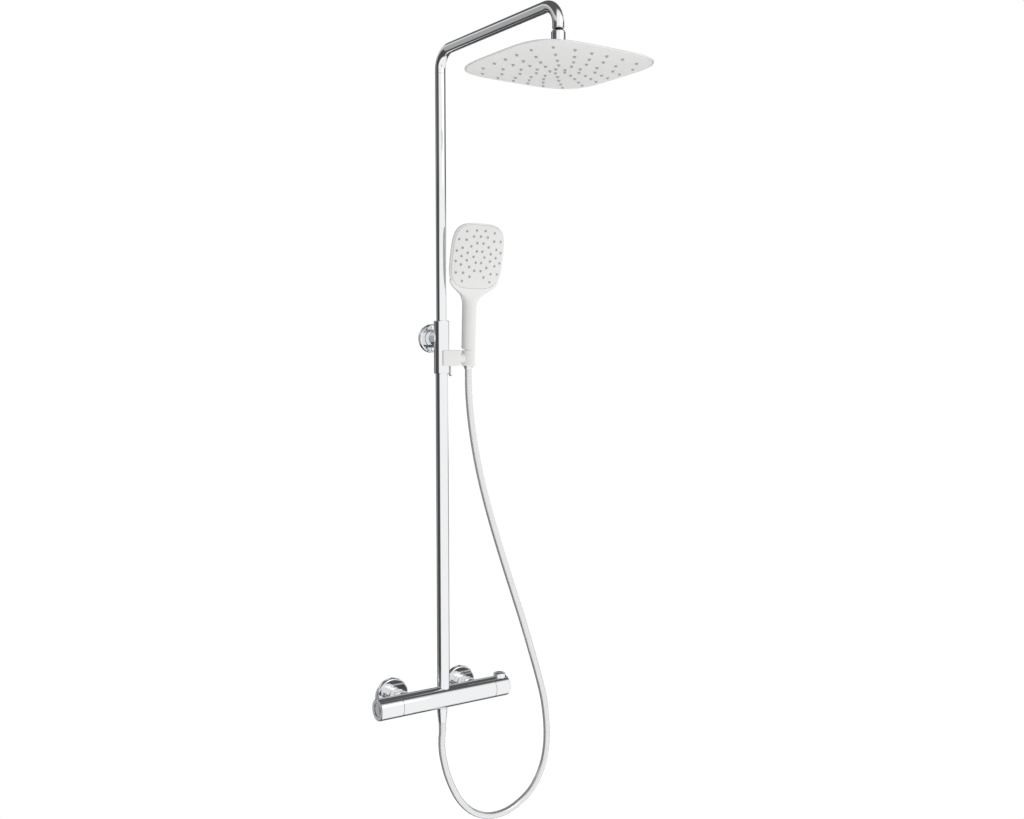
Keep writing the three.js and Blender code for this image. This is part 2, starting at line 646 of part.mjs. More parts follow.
function holderArm() {
  const body = block([HOLDER_LEFT, HOLDER_JOINT], [-HOLDER_FRONT, HOLDER_BACK], [holderLow, holderHigh]);
  return cut(
    body,
    rod(SLEEVE_RADIUS + FIT, holderLow - 1, holderHigh + 1),
    alongX(rod(PIVOT_RADIUS + FIT, 0, HOLDER_JOINT + 1, SMALL_ROUND)).translate(0, 0, HOLDER_HEIGHT),
    block([leverPinX - LEVER_EYE - FIT, leverPinX + LEVER_EYE + LEVER_SWING_ROOM],
      [-LEVER_WIDE / 2 - FIT, LEVER_WIDE / 2 + FIT], [holderLow - 1, leverPinHeight + LEVER_EYE + FIT]),
    alongY(rod(LEVER_PIN_RADIUS + FIT, -HOLDER_FRONT + LEVER_PIN_COVER, HOLDER_BACK + 1, SMALL_ROUND))
      .translate(leverPinX, 0, leverPinHeight),
  );
}

function holderCup() {
  const half = HOLDER_TALL / 2;
  const top = CONE_TOP_RADIUS + FIT;
  const bottom = CONE_BOTTOM_RADIUS + FIT;
  const neckStart = HOLDER_JOINT + FIT;
  const outside = join(
    rod(CUP_RADIUS, -half, half).translate(CUP_OFFSET, 0, 0),
    alongX(rod(CUP_NECK_RADIUS, neckStart, CUP_OFFSET - CUP_RADIUS + 3)),
  );
  const seat = turned([[0, -half - 1], [bottom, -half - 1], [bottom, -half], [top, half], [top, half + 1],
    [0, half + 1]]);
  return cut(
    outside,
    seat.translate(CUP_OFFSET, 0, 0),
    block([CUP_OFFSET, CUP_OFFSET + CUP_RADIUS + 1], [-CUP_SLOT / 2, CUP_SLOT / 2], [-half - 1, half + 1]),
    alongX(rod(PIVOT_RADIUS + FIT, neckStart - 1, neckStart + PIVOT_REACH + 1, SMALL_ROUND)),
  );
}

function heightLever() {
  const tip = holderLow - LEVER_DROP;
  const profile = new THREE.Shape([
    new THREE.Vector2(0, leverPinHeight),
    new THREE.Vector2(0, tip + 4),
    new THREE.Vector2(LEVER_TOE, tip),
    new THREE.Vector2(LEVER_TOE + LEVER_THICK, tip + 1),
    new THREE.Vector2(LEVER_THICK, tip + 6),
    new THREE.Vector2(LEVER_THICK, leverPinHeight),
  ]);
  const plate = slab(profile, -LEVER_WIDE / 2, LEVER_WIDE / 2).rotateX(Math.PI / 2);
  const eye = alongY(rod(LEVER_EYE, -LEVER_WIDE / 2, LEVER_WIDE / 2, SMALL_ROUND));
  const hole = alongY(rod(LEVER_PIN_RADIUS + FIT, -LEVER_WIDE, LEVER_WIDE, SMALL_ROUND));
  const lever = join(plate.translate(LEVER_LEFT, 0, 0), eye.translate(leverPinX, 0, leverPinHeight));
  return cut(lever, hole.translate(leverPinX, 0, leverPinHeight));
}

function addHolder(column) {
  add(column, 'holder_arm', holderArm(), white);
  add(column, 'holder_cup', holderCup(), white).position.z = HOLDER_HEIGHT;
  const pivot = alongX(rod(PIVOT_RADIUS, SLEEVE_RADIUS + 1, HOLDER_JOINT + FIT + PIVOT_REACH, SMALL_ROUND));
  add(column, 'cup_pivot_pin', pivot, steel).position.z = HOLDER_HEIGHT;
  add(column, 'height_lever', heightLever(), chrome);
  const pinFront = -HOLDER_FRONT + LEVER_PIN_COVER + FIT;
  const pin = alongY(rod(LEVER_PIN_RADIUS, pinFront, HOLDER_BACK - FIT, SMALL_ROUND));
  add(column, 'lever_pin', pin, steel).position.set(leverPinX, 0, leverPinHeight);
}

// ---------------------------------------------------------------- overhead arm and ball joint
// The arm leaves the riser upwards, bends out from the wall and bends down at its end.
function armStations() {
  const stations = [];
  const put = (y, z, ty, tz) => stations.push({
    point: new THREE.Vector3(0, y, z),
    tangent: new THREE.Vector3(0, ty, tz),
  });
  const corners = [
    { centre: [-ARM_BEND, ARM_HEIGHT - ARM_BEND], from: 0 },
    { centre: [-ARM_REACH + ARM_BEND, ARM_HEIGHT - ARM_BEND], from: 90 },
  ];
  put(0, UPPER_RISER_TOP + FIT, 0, 1);
  for (const { centre, from } of corners) {
    for (let i = 0; i <= BEND_STEPS; i += 1) {
      const angle = THREE.MathUtils.degToRad(from + (90 * i) / BEND_STEPS);
      const [c, s] = [Math.cos(angle), Math.sin(angle)];
      put(centre[0] + ARM_BEND * c, centre[1] + ARM_BEND * s, -s, c);
    }
  }
  put(-ARM_REACH, DROP_END, 0, -1);
  return stations;
}

// A ring that lies between the ball and its socket, from one latitude to another.
function seatRing(from, to) {
  const inner = BALL_RADIUS + FIT;
  const outer = inner + SEAT_THICKNESS;
  const steps = 3;
  const outside = arcPoints(outer, BALL_HEIGHT, from, to, steps);
  const inside = arcPoints(inner, BALL_HEIGHT, to, from, steps);
  return turned([...outside, ...inside, outside[0]], SMALL_ROUND);
}

const hubTop = BALL_HEIGHT - 4;

function ballStub() {
  const neckTop = DROP_END - FIT;
  const straight = ARM_HEIGHT - ARM_BEND - FIT;
  const plug = UPPER_RISER_RADIUS - PIPE_WALL - FIT;
  return turned([[0, BALL_HEIGHT - BALL_RADIUS], ...arcPoints(BALL_RADIUS, BALL_HEIGHT, -75, 55, 5),
    [BALL_NECK_RADIUS, BALL_HEIGHT + BALL_RADIUS], [BALL_NECK_RADIUS, neckTop - 1],
    [UPPER_RISER_RADIUS, neckTop - 1], [UPPER_RISER_RADIUS, neckTop], [plug, neckTop], [plug, straight],
    [0, straight]]);
}

function ballNut() {
  const lipAngle = 45;
  const lip = arcPoints(SOCKET_RADIUS, BALL_HEIGHT, lipAngle, 8, 3);
  const thread = BALL_NUT_RADIUS - BALL_NUT_THREAD;
  const mouth = BALL_NUT_RADIUS - BALL_STEM_CLEARANCE;
  return turned([[mouth, BALL_NUT_TOP], ...lip, [thread, BALL_HEIGHT - 0.5], [thread, BALL_NUT_BOTTOM],
    [BALL_NUT_RADIUS, BALL_NUT_BOTTOM], [BALL_NUT_RADIUS, BALL_NUT_TOP - 1],
    [BALL_NUT_RADIUS - 1, BALL_NUT_TOP], [mouth, BALL_NUT_TOP]]);
}

function headHub() {
  const seat = arcPoints(SOCKET_RADIUS, BALL_HEIGHT, -60, -28, 3);
  const thread = BALL_NUT_RADIUS - BALL_NUT_THREAD - FIT;
  const bore = WATERWAY_RADIUS - 0.8;
  const dome = HEAD_FACE + HEAD_RIM + HEAD_DOME;
  const foot = dome - HEAD_HUB_SINK;
  return turned([[bore, foot], [bore, seat[0][1]], ...seat, [thread, hubTop], [thread, BALL_NUT_BOTTOM - FIT],
    [HEAD_HUB_RADIUS, dome + 4], [HEAD_HUB_RADIUS, dome + FIT], [thread, dome + FIT], [thread, foot],
    [bore, foot]]);
}

function addArm(column) {
  const arm = group();
  column.add(arm);
  const stations = armStations();
  const section = ring(UPPER_RISER_RADIUS, UPPER_RISER_RADIUS - PIPE_WALL, 16);
  add(arm, 'shower_arm', swept(section, new PipePath(stations), stations.length - 1), chrome);
  const spigotRadius = UPPER_RISER_RADIUS - PIPE_WALL - FIT;
  const spigotLow = UPPER_RISER_TOP - SPIGOT_LENGTH;
  const spigotHigh = ARM_HEIGHT - ARM_BEND;
  add(arm, 'arm_spigot', pipe(spigotRadius, spigotRadius - 1.5, spigotLow, spigotHigh, SMALL_ROUND), brass);
  const end = group(0, -ARM_REACH, 0);
  arm.add(end);
  add(end, 'ball_stub', ballStub(), brass);
  add(end, 'ball_seat_upper', seatRing(6, 38), nozzleGrey);
  add(end, 'ball_seat_lower', seatRing(-50, -18), rubber);
  add(end, 'ball_nut', ballNut(), chrome);
  return end;
}

// ---------------------------------------------------------------- overhead shower
const OUTLINE_POINTS = 48;

function overheadShell() {
  const top = HEAD_FACE + HEAD_RIM;
  const dome = top + HEAD_DOME;
  const inside = HEAD_SIZE - 2 * HEAD_SKIN;
  const hole = BALL_NUT_RADIUS - BALL_NUT_THREAD;
  const crown = turned([[0, top - 0.5], [HEAD_DOME_RADIUS, top - 0.5], [HEAD_DOME_RADIUS, top],
    [HEAD_HUB_RADIUS + 4, dome], [0, dome]]);
  const ceiling = top - HEAD_SKIN;
  const peak = dome - HEAD_SKIN - 0.5;
  const hollowRadius = HEAD_DOME_RADIUS - 6;
  const hollow = turned([[0, ceiling - 1], [hollowRadius, ceiling - 1], [hollowRadius, ceiling],
    [HEAD_HUB_RADIUS, peak], [0, peak]]);
  return cut(
    join(slab(squircle(HEAD_SIZE, HEAD_SIZE, HEAD_EXPONENT, OUTLINE_POINTS), HEAD_FACE, top), crown),
    slab(squircle(inside, inside, HEAD_EXPONENT, OUTLINE_POINTS), HEAD_FACE - 1, ceiling),
    hollow,
    rod(hole, dome - HEAD_HUB_SINK, dome + 1),
  );
}

function addOverheadShower(end) {
  const plateSize = HEAD_SIZE - 2 * HEAD_SKIN - 2 * FIT;
  const plateShape = squircle(plateSize, plateSize, HEAD_EXPONENT, OUTLINE_POINTS);
  const half = plateSize / 2;
  const bulge = [0, 0.5, 0.75].map((share) => [half * share, HEAD_FACE - HEAD_CROWN * (1 - share ** 3)]);
  const crown = turned([...bulge, [half - FIT, HEAD_FACE + 0.5], [0, HEAD_FACE + 0.5]], ROUND + 8);
  const plate = join(slab(plateShape, HEAD_FACE, HEAD_FACE + SPRAY_PLATE), crown);
  const matSize = plateSize - 8;
  const matShape = squircle(matSize, matSize, HEAD_EXPONENT, OUTLINE_POINTS);
  const matLow = HEAD_FACE + SPRAY_PLATE + FIT;
  add(end, 'overhead_shell', overheadShell(), white);
  add(end, 'overhead_spray_plate', plate, faceWhite);
  add(end, 'overhead_nozzle_mat', slab(matShape, matLow, matLow + NOZZLE_MAT), nozzleGrey);
  add(end, 'overhead_hub', headHub(), chrome);
  const strainerTop = HEAD_FACE + HEAD_RIM + HEAD_DOME - HEAD_HUB_SINK - FIT;
  const strainerLow = strainerTop - STRAINER_THICKNESS;
  const strainer = pipe(STRAINER_RADIUS, STRAINER_BORE_RADIUS, strainerLow, strainerTop, SMALL_ROUND);
  add(end, 'overhead_strainer', strainer, rubber);
}

// ---------------------------------------------------------------- hand shower
// The foot is raised a little so that its low edge clears the cup's rim when the handle leans.
const handleFoot = holderHigh + FIT + HANDLE_RADIUS * Math.sin(THREE.MathUtils.degToRad(HANDLE_LEAN));

// The face looks along local -Z, and local Y runs down the head towards the handle.
function handsetHeadFrame(geometry) {
  const tilt = THREE.MathUtils.degToRad(HANDSET_TILT - 90);
  return geometry.rotateX(tilt).translate(0, -HANDSET_FORWARD, HANDSET_CENTRE);
}

function handleAxis(geometry) {
  return geometry.rotateX(THREE.MathUtils.degToRad(HANDLE_LEAN)).translate(0, 0, handleFoot);
}

// The head's outline, drawn in on every side.
function headOutline(inset, exponent = HANDSET_EXPONENT) {
  return squircle(HANDSET_WIDTH - 2 * inset, HANDSET_HEIGHT - 2 * inset, exponent, HANDSET_POINTS);
}

function handsetShell() {
  const backInset = 12;
  const chamberInset = 16;
  const long = HANDLE_TOP - handleFoot;
  const handle = turned([[0, 1], [HANDLE_RADIUS - 1, 0], [HANDLE_RADIUS, 1], [HANDLE_RADIUS, long * 0.5],
    [HANDLE_RADIUS + HANDLE_SWELL, long], [0, long]]);
  const neckWide = HANDSET_WIDTH * 0.36;
  const neckTop = HANDSET_HEIGHT / 2 - 12;
  const neckLow = HANDSET_HEIGHT / 2 + 20;
  const neck = new THREE.Shape([
    new THREE.Vector2(-HANDLE_RADIUS, neckLow),
    new THREE.Vector2(-neckWide, neckTop),
    new THREE.Vector2(neckWide, neckTop),
    new THREE.Vector2(HANDLE_RADIUS, neckLow),
  ]);
  const solid = join(
    handleAxis(handle),
    handsetHeadFrame(slab(headOutline(0), 0, HANDSET_DEPTH - 6)),
    handsetHeadFrame(slab(headOutline(3), HANDSET_DEPTH - 7, HANDSET_DEPTH - 3)),
    handsetHeadFrame(slab(headOutline(backInset, HANDSET_BACK_EXPONENT), HANDSET_DEPTH - 4, HANDSET_DEPTH)),
    handsetHeadFrame(slab(neck, 2, HANDSET_DEPTH - 1)),
  );
  return cut(
    solid,
    handsetHeadFrame(slab(headOutline(HANDSET_WALL), -1, SPRAY_PLATE + NOZZLE_MAT + 2 * FIT)),
    handsetHeadFrame(slab(headOutline(chamberInset, HANDSET_BACK_EXPONENT), 0, HANDSET_DEPTH - 5)),
    handleAxis(rod(HANDSET_INLET_RADIUS, -3, HANDSET_INLET_DEPTH, SMALL_ROUND)),
    handleAxis(rod(HANDLE_BORE_RADIUS, HANDSET_INLET_DEPTH - 1, long + 2, SMALL_ROUND)),
  );
}

function addHandShower(column) {
  const handset = group(CUP_OFFSET, 0, 0);
  column.add(handset);
  const plate = slab(headOutline(HANDSET_WALL + FIT), 0, SPRAY_PLATE);
  const matNear = SPRAY_PLATE + FIT;
  const mat = slab(headOutline(8), matNear, matNear + NOZZLE_MAT);
  add(handset, 'handset_shell', handsetShell(), white);
  add(handset, 'handset_spray_plate', handsetHeadFrame(plate), faceWhite);
  add(handset, 'handset_nozzle_mat', handsetHeadFrame(mat), nozzleGrey);
  const nipple = pipe(HANDSET_INLET_RADIUS - FIT, 3.5, -11, HANDSET_INLET_DEPTH - 2, SMALL_ROUND);
  add(handset, 'handset_inlet', handleAxis(nipple), brass);
  add(handset, 'hose_cone', hoseCone(), chrome);
}

// ---------------------------------------------------------------- hose
const coneTop = holderHigh - FIT;
const coneEnd = coneTop - CONE_LENGTH - CONE_NECK_LENGTH;
const hoseNutEnd = -BAR_RADIUS - OUTLET_FLARE - FIT - HOSE_NUT_LENGTH;

// The tapered nut that drops into the cup and screws onto the hand shower's inlet.
function hoseCone() {
  const low = coneTop - CONE_LENGTH;
  const bore = HANDSET_INLET_RADIUS + 3 * FIT;
  const floor = coneTop - 13;
  return turned([[0, coneEnd], [CONE_NECK_RADIUS, coneEnd], [CONE_NECK_RADIUS, low],
    [CONE_BOTTOM_RADIUS, low], [CONE_TOP_RADIUS, coneTop], [bore, coneTop], [bore, floor], [0, floor]]);
}

// The tapered nut on the valve's outlet.
function hoseNut() {
  const top = -BAR_RADIUS - OUTLET_FLARE - FIT;
  const bore = OUTLET_THREAD_RADIUS + FIT;
  const floor = -OUTLET_REACH - WASHER_THICKNESS - 2 * FIT;
  return turned([[0, hoseNutEnd], [HOSE_RADIUS + 0.4, hoseNutEnd], [HOSE_NUT_TOP_RADIUS, top - 9],
    [HOSE_NUT_TOP_RADIUS, top], [bore, top], [bore, floor], [0, floor]]);
}

// The hose's centre line from the valve's nut, down round the loop and up to the cup.
// Points are [across, behind the riser's axis, height], chosen by hand.
const HOSE_ROUTE = [
  [0, 5, -50], [0, 5, -66], [-1.5, 5, -85], [-0.5, 5, -106], [4, 5, -129], [11, 5, -153], [21, 5, -177],
  [34, 5, -201], [51, 5, -222], [72, 5, -239], [97, 4, -250], [124, 4, -254], [151, 4, -251], [177, 4, -241],
  [201, 3, -225], [220, 3, -203], [234, 3, -175], [241.5, 3, -143], [243, 3, -110], [240.5, 3, -77],
  [234.5, 2, -43], [225.5, 2, -9], [204.5, 2, 57], [181, 1, 124], [157, 1, 190], [133.5, 1, 255],
  [111, 0, 319], [92, 0, 381], [76.5, 0, 443], [65.5, 0, 504], [60, 0, 552], [58.5, 0, 582], [58.5, 0, 612],
];

function hoseCentre() {
  const points = HOSE_ROUTE.map(([x, y, z]) => new THREE.Vector3(x, y, z));
  const last = points.length - 1;
  points[0].set(0, OUTLET_BACK, hoseNutEnd - FIT);
  points[last - 1].x = CUP_OFFSET;
  points[last].set(CUP_OFFSET, 0, coneEnd - FIT);
  return new THREE.CatmullRomCurve3(points, false, 'centripetal');
}

// The share of the centre line's length at which it first climbs to a height on the cup's side.
function shareAtHeight(curve, height) {
  const samples = 4000;
  for (let i = samples; i > 0; i -= 1) {
    const share = i / samples;
    if (curve.getPointAt(share).z < height) return share;
  }
  return 0;
}

function addHose(column) {
  const nut = group(0, OUTLET_BACK, 0);
  column.add(nut);
  add(nut, 'hose_nut', hoseNut(), chrome);
  const washerTop = -OUTLET_REACH - FIT;
  const washer = pipe(OUTLET_THREAD_RADIUS - 0.4, 3.5, washerTop - WASHER_THICKNESS, washerTop, SMALL_ROUND);
  add(nut, 'hose_washer', washer, rubber);
  const centre = hoseCentre();
  centre.arcLengthDivisions = 2000;
  const length = centre.getLength();
  const split = shareAtHeight(centre, HOLDER_HEIGHT - HOSE_SPLIT);
  const section = ring(HOSE_RADIUS, 0, HOSE_SIDES);
  const lower = new Stretch(centre, 0, split);
  const upper = new Stretch(centre, split + FIT / length, 1);
  const lowerSteps = Math.round((split * length) / HOSE_STEP);
  const upperSteps = Math.round(((1 - split) * length) / HOSE_STEP) + 2;
  add(column, 'hose_lower', swept(section, lower, lowerSteps), hoseSilver);
  add(column, 'hose_upper', swept(section, upper, upperSteps), hoseSilver);
}

// ---------------------------------------------------------------- assembly
const showerColumn = new THREE.Group();
const column = group(0, -WALL_TO_AXIS, 0);
showerColumn.add(column);
addValve(column);
addUnions(column);
addRiser(column);
addHolder(column);
addOverheadShower(addArm(column));
addHandShower(column);
addHose(column);

export default showerColumn;
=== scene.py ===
# %% [markdown]
# # A rainfall shower column
# A bar valve on two wall unions, a telescopic riser, an arm with a square overhead shower, and a hand
# shower on its hose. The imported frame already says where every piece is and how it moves. This lesson puts
# finer pieces and real finishes on it. Lengths are written in millimetres and turned into metres in one
# place, when a mesh is made.

# %% Load the frame and remember its box
import json
import math
import bpy
import bmesh
from mathutils import Matrix, Vector


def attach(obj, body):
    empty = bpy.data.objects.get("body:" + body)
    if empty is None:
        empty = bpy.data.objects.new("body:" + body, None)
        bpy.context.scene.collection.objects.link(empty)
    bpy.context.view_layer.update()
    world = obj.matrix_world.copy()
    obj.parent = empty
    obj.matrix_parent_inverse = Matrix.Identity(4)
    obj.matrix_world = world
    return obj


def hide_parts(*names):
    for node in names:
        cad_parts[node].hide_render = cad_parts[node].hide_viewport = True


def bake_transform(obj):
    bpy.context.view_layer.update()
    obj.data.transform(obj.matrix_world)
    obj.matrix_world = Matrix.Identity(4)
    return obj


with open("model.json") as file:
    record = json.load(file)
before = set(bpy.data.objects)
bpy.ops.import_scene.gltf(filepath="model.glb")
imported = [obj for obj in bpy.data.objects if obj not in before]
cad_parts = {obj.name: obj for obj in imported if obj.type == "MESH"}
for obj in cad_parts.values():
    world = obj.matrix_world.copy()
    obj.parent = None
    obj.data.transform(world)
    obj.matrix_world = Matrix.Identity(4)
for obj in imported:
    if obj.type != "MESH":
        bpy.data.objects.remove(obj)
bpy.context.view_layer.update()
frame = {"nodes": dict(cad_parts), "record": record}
MM = 0.001
WALL_TO_AXIS = 68  # the bar's and the riser's axes are this far in front of the wall
FIT = 0.3  # gap between two pieces that fit together
scene = bpy.context.scene

# %% [markdown]
# ## Where we look from
# The camera stands to the left of the column and a little above its middle, and looks slightly down. It is
# placed by its yaw, pitch and roll, so that each can be changed alone.

# %% Camera
CAMERA_PLACE = Vector((-1.1015, -1.8538, 0.6312))
CAMERA_YAW, CAMERA_PITCH, CAMERA_ROLL = 35.2, 2.57, -0.15
LENS, SENSOR = 39.88, 36.0


def camera_turn(yaw, pitch, roll):
    yaw, pitch, roll = (math.radians(angle) for angle in (yaw, pitch, roll))
    ahead = Vector((math.sin(yaw) * math.cos(pitch), math.cos(yaw) * math.cos(pitch), -math.sin(pitch)))
    level = Vector((math.cos(yaw), -math.sin(yaw), 0))
    right = level * math.cos(roll) + level.cross(ahead) * math.sin(roll)
    up = right.cross(ahead)
    return Matrix((right, up, -ahead)).transposed()


lens = bpy.data.cameras.new("camera")
lens.lens, lens.sensor_width = LENS, SENSOR
camera = bpy.data.objects.new("camera", lens)
scene.collection.objects.link(camera)
camera.matrix_world = Matrix.Translation(CAMERA_PLACE) @ camera_turn(
    CAMERA_YAW, CAMERA_PITCH, CAMERA_ROLL).to_4x4()
scene.camera = camera
scene.view_settings.view_transform = "Standard"
print("camera at", tuple(round(x, 3) for x in camera.location))

# %% [markdown]
# ## Two helpers for node trees
# Shader trees and geometry trees are built the same way here. `Board.add` takes a node's type, its
# settings, and what goes into its sockets. A `Wire` wraps a socket, so that shader sums can be written as
# Python expressions.

# %% Node helpers


class Wire:
    """A number that flows through a shader tree. Sums on it add Math nodes."""

    def __init__(self, board, socket):
        self.board, self.socket = board, socket

    def math(self, operation, *others):
        sockets = {i: value for i, value in enumerate((self, *others))}
        return self.board.wire("ShaderNodeMath", {"operation": operation}, sockets)

    def __add__(self, other):
        return self.math("ADD", other)

    def __sub__(self, other):
        return self.math("SUBTRACT", other)

    def __rsub__(self, other):
        return (self * -1) + other

    def __mul__(self, other):
        return self.math("MULTIPLY", other)

    def sine(self):
        return self.math("SINE")

    def clipped(self):
        return self.math("MAXIMUM", 0.0).math("MINIMUM", 1.0)

    __radd__, __rmul__ = __add__, __mul__


class Board:
    """A node tree, with one way to add a node to it and one to add a node for its number."""

    def __init__(self, tree):
        self.tree = tree

    def add(self, kind, settings=None, sockets=None):
        node = self.tree.nodes.new(kind)
        for name, value in (settings or {}).items():
            setattr(node, name, value)
        for key, value in (sockets or {}).items():
            source = value.socket if isinstance(value, Wire) else value
            if isinstance(source, bpy.types.NodeSocket):
                self.tree.links.new(source, node.inputs[key])
            else:
                node.inputs[key].default_value = source
        return node

    def wire(self, kind, settings=None, sockets=None, output=0):
        return Wire(self, self.add(kind, settings, sockets).outputs[output])


def blank_board(owner):
    """The emptied shader tree of a material or a world."""
    owner.use_nodes = True
    owner.node_tree.nodes.clear()
    return Board(owner.node_tree)


def grey(value):
    return (value, value, value, 1.0)


print("node helpers ready")

# %% [markdown]
# ## Finishes
# Chrome plate is a mirror with very fine polishing marks and the faint dullness of handling, so its
# roughness wanders a little and nothing else does. Moulded white plastic is glossy with a slight orange
# peel. Every finish reads Object coordinates, because the finished pieces all sit at the origin.

# %% Finishes: the common recipe
FLECK_FLOOR, FLECK_CONTRAST, FLECK_TINT = 0.62, 8.0, 0.45  # where flecks start, their edge and their shade


def noise(board, place, scale, detail=3.0, stretch=(1, 1, 1)):
    """A soft noise from 0 to 1 on the piece's own coordinates; scale is features per metre."""
    spread = board.add("ShaderNodeMapping", None, {"Vector": place, "Scale": stretch})
    return board.wire("ShaderNodeTexNoise", None,
                      {"Vector": spread.outputs[0], "Scale": scale, "Detail": detail, "Roughness": 0.55})


def blend_colours(board, share, first, second):
    node = board.add("ShaderNodeMix", {"data_type": "RGBA"}, {0: share, 6: first, 7: second})
    return node.outputs[2]


def tinted(colour, factor):
    return (*(min(1.0, channel * factor) for channel in colour), 1.0)


def make_finish(name, colour, rough, rough_spread=0.04, tint=0.06, metal=0.0, coat=0.0, grain=60.0,
                bump=0.02, bump_scale=900.0, stretch=(1, 1, 1), fleck=0.0):
    """A finish whose colour, roughness and surface wander a little over the piece."""
    material = bpy.data.materials.new(name)
    board = blank_board(material)
    place = board.add("ShaderNodeTexCoord").outputs["Object"]
    cloud = noise(board, place, grain, 4.0)
    fine = noise(board, place, bump_scale, 2.0, stretch)
    base = blend_colours(board, cloud, tinted(colour, 1 - tint), tinted(colour, 1 + tint))
    if fleck:
        specks = (noise(board, place, bump_scale * 1.7, 1.0) - FLECK_FLOOR) * FLECK_CONTRAST
        base = blend_colours(board, specks.clipped() * fleck, base, tinted(colour, FLECK_TINT))
    roughness = (cloud - 0.5) * (2 * rough_spread) + (fine - 0.5) * rough_spread + rough
    relief = board.add("ShaderNodeBump", None, {"Strength": bump, "Distance": 0.0004, "Height": fine})
    shader = board.add("ShaderNodeBsdfPrincipled", None, {
        "Base Color": base, "Roughness": roughness.clipped(), "Metallic": metal, "Coat Weight": coat,
        "Coat Roughness": 0.08, "IOR": 1.5, "Normal": relief.outputs[0]})
    board.add("ShaderNodeOutputMaterial", None, {"Surface": shader.outputs[0]})
    return material


# %% Finishes: the metals
chrome = make_finish("bright_chrome", (0.80, 0.81, 0.825), 0.055, 0.02, 0.015, metal=1.0, grain=22.0,
                     bump=0.006, bump_scale=420.0)
pipe_chrome = make_finish("drawn_chrome_tube", (0.80, 0.81, 0.825), 0.06, 0.02, 0.015, metal=1.0, grain=18.0,
                          bump=0.006, bump_scale=500.0, stretch=(1, 1, 0.04))
brass = make_finish("machined_brass", (0.70, 0.52, 0.25), 0.28, 0.08, 0.08, metal=1.0, bump=0.05)
steel = make_finish("zinc_plated_steel", (0.60, 0.61, 0.62), 0.33, 0.08, 0.08, metal=1.0, bump=0.06,
                    fleck=0.15)
print("metals", chrome.name, pipe_chrome.name, brass.name, steel.name)

# %% Finishes: the plastics and rubbers
white = make_finish("gloss_white_moulding", (0.83, 0.83, 0.82), 0.22, 0.05, 0.012, coat=0.5, grain=30.0,
                    bump=0.035, bump_scale=700.0)
face_white = make_finish("satin_spray_face", (0.80, 0.80, 0.79), 0.38, 0.06, 0.02, grain=45.0, bump=0.08,
                         bump_scale=2400.0)
silicone = make_finish("grey_silicone", (0.42, 0.425, 0.42), 0.55, 0.08, 0.08, grain=260.0, bump=0.10,
                       bump_scale=3000.0)
rubber = make_finish("black_rubber", (0.025, 0.025, 0.028), 0.72, 0.08, 0.2, bump=0.2, fleck=0.2)
cartridge_grey = make_finish("cartridge_plastic", (0.16, 0.18, 0.20), 0.42, 0.08, 0.1, bump=0.10)
# The nozzle bore below is painted shade: a black disc on each nub's tip where the hole would look dark.
dark = make_finish("painted_bore_shade", (0.02, 0.02, 0.02), 0.8, 0.05, 0.2, bump=0.05)
print("plastics", white.name, face_white.name, silicone.name)

# %% [markdown]
# The hose is a smooth clear skin over silvery winding. Its finish follows the hose itself: the tree that
# sweeps the tube stores the distance along it, and fine rings of winding are drawn from that distance.

# %% Finishes: the hose skin
WINDING_PITCH = 0.0026


def make_hose_finish():
    material = bpy.data.materials.new("silver_hose_skin")
    board = blank_board(material)
    along = board.wire("ShaderNodeAttribute", {"attribute_name": "along"}, None, output=2)
    place = board.add("ShaderNodeTexCoord").outputs["Object"]
    cloud = noise(board, place, 55.0, 3.0)
    winding = (along * (2 * math.pi / WINDING_PITCH)).sine() * 0.5 + 0.5
    shade = (winding * 0.55 + cloud * 0.45).clipped()
    base = blend_colours(board, shade, (0.70, 0.71, 0.72, 1), (0.78, 0.79, 0.80, 1))
    relief = board.add("ShaderNodeBump", None, {"Strength": 0.06, "Distance": 0.0003, "Height": winding})
    shader = board.add("ShaderNodeBsdfPrincipled", None, {
        "Base Color": base, "Roughness": (cloud * 0.10 + winding * 0.05 + 0.20).clipped(), "Metallic": 0.72,
        "Coat Weight": 0.7, "Coat Roughness": 0.12, "Normal": relief.outputs[0]})
    board.add("ShaderNodeOutputMaterial", None, {"Surface": shader.outputs[0]})
    return material


hose_skin = make_hose_finish()
print("hose winding every", WINDING_PITCH * 1000, "mm")

# %% [markdown]
# ## Sweeping a tube along a path
# The hose and the overhead arm are both a round section carried along a line. A geometry tree does that:
# the line comes in as a chain of edges, becomes a curve, and is swept. The radius and the number of sides
# are named inputs, so one tree serves both.

# %% The sweep tree


def new_tree(name, inputs):
    """A geometry tree with a mesh in and out, and named inputs."""
    tree = bpy.data.node_groups.new(name, "GeometryNodeTree")
    tree.interface.new_socket(name="Geometry", in_out="INPUT", socket_type="NodeSocketGeometry")
    for label, kind in inputs:
        tree.interface.new_socket(name=label, in_out="INPUT", socket_type=kind)
    tree.interface.new_socket(name="Geometry", in_out="OUTPUT", socket_type="NodeSocketGeometry")
    board = Board(tree)
    return board, board.add("NodeGroupInput").outputs


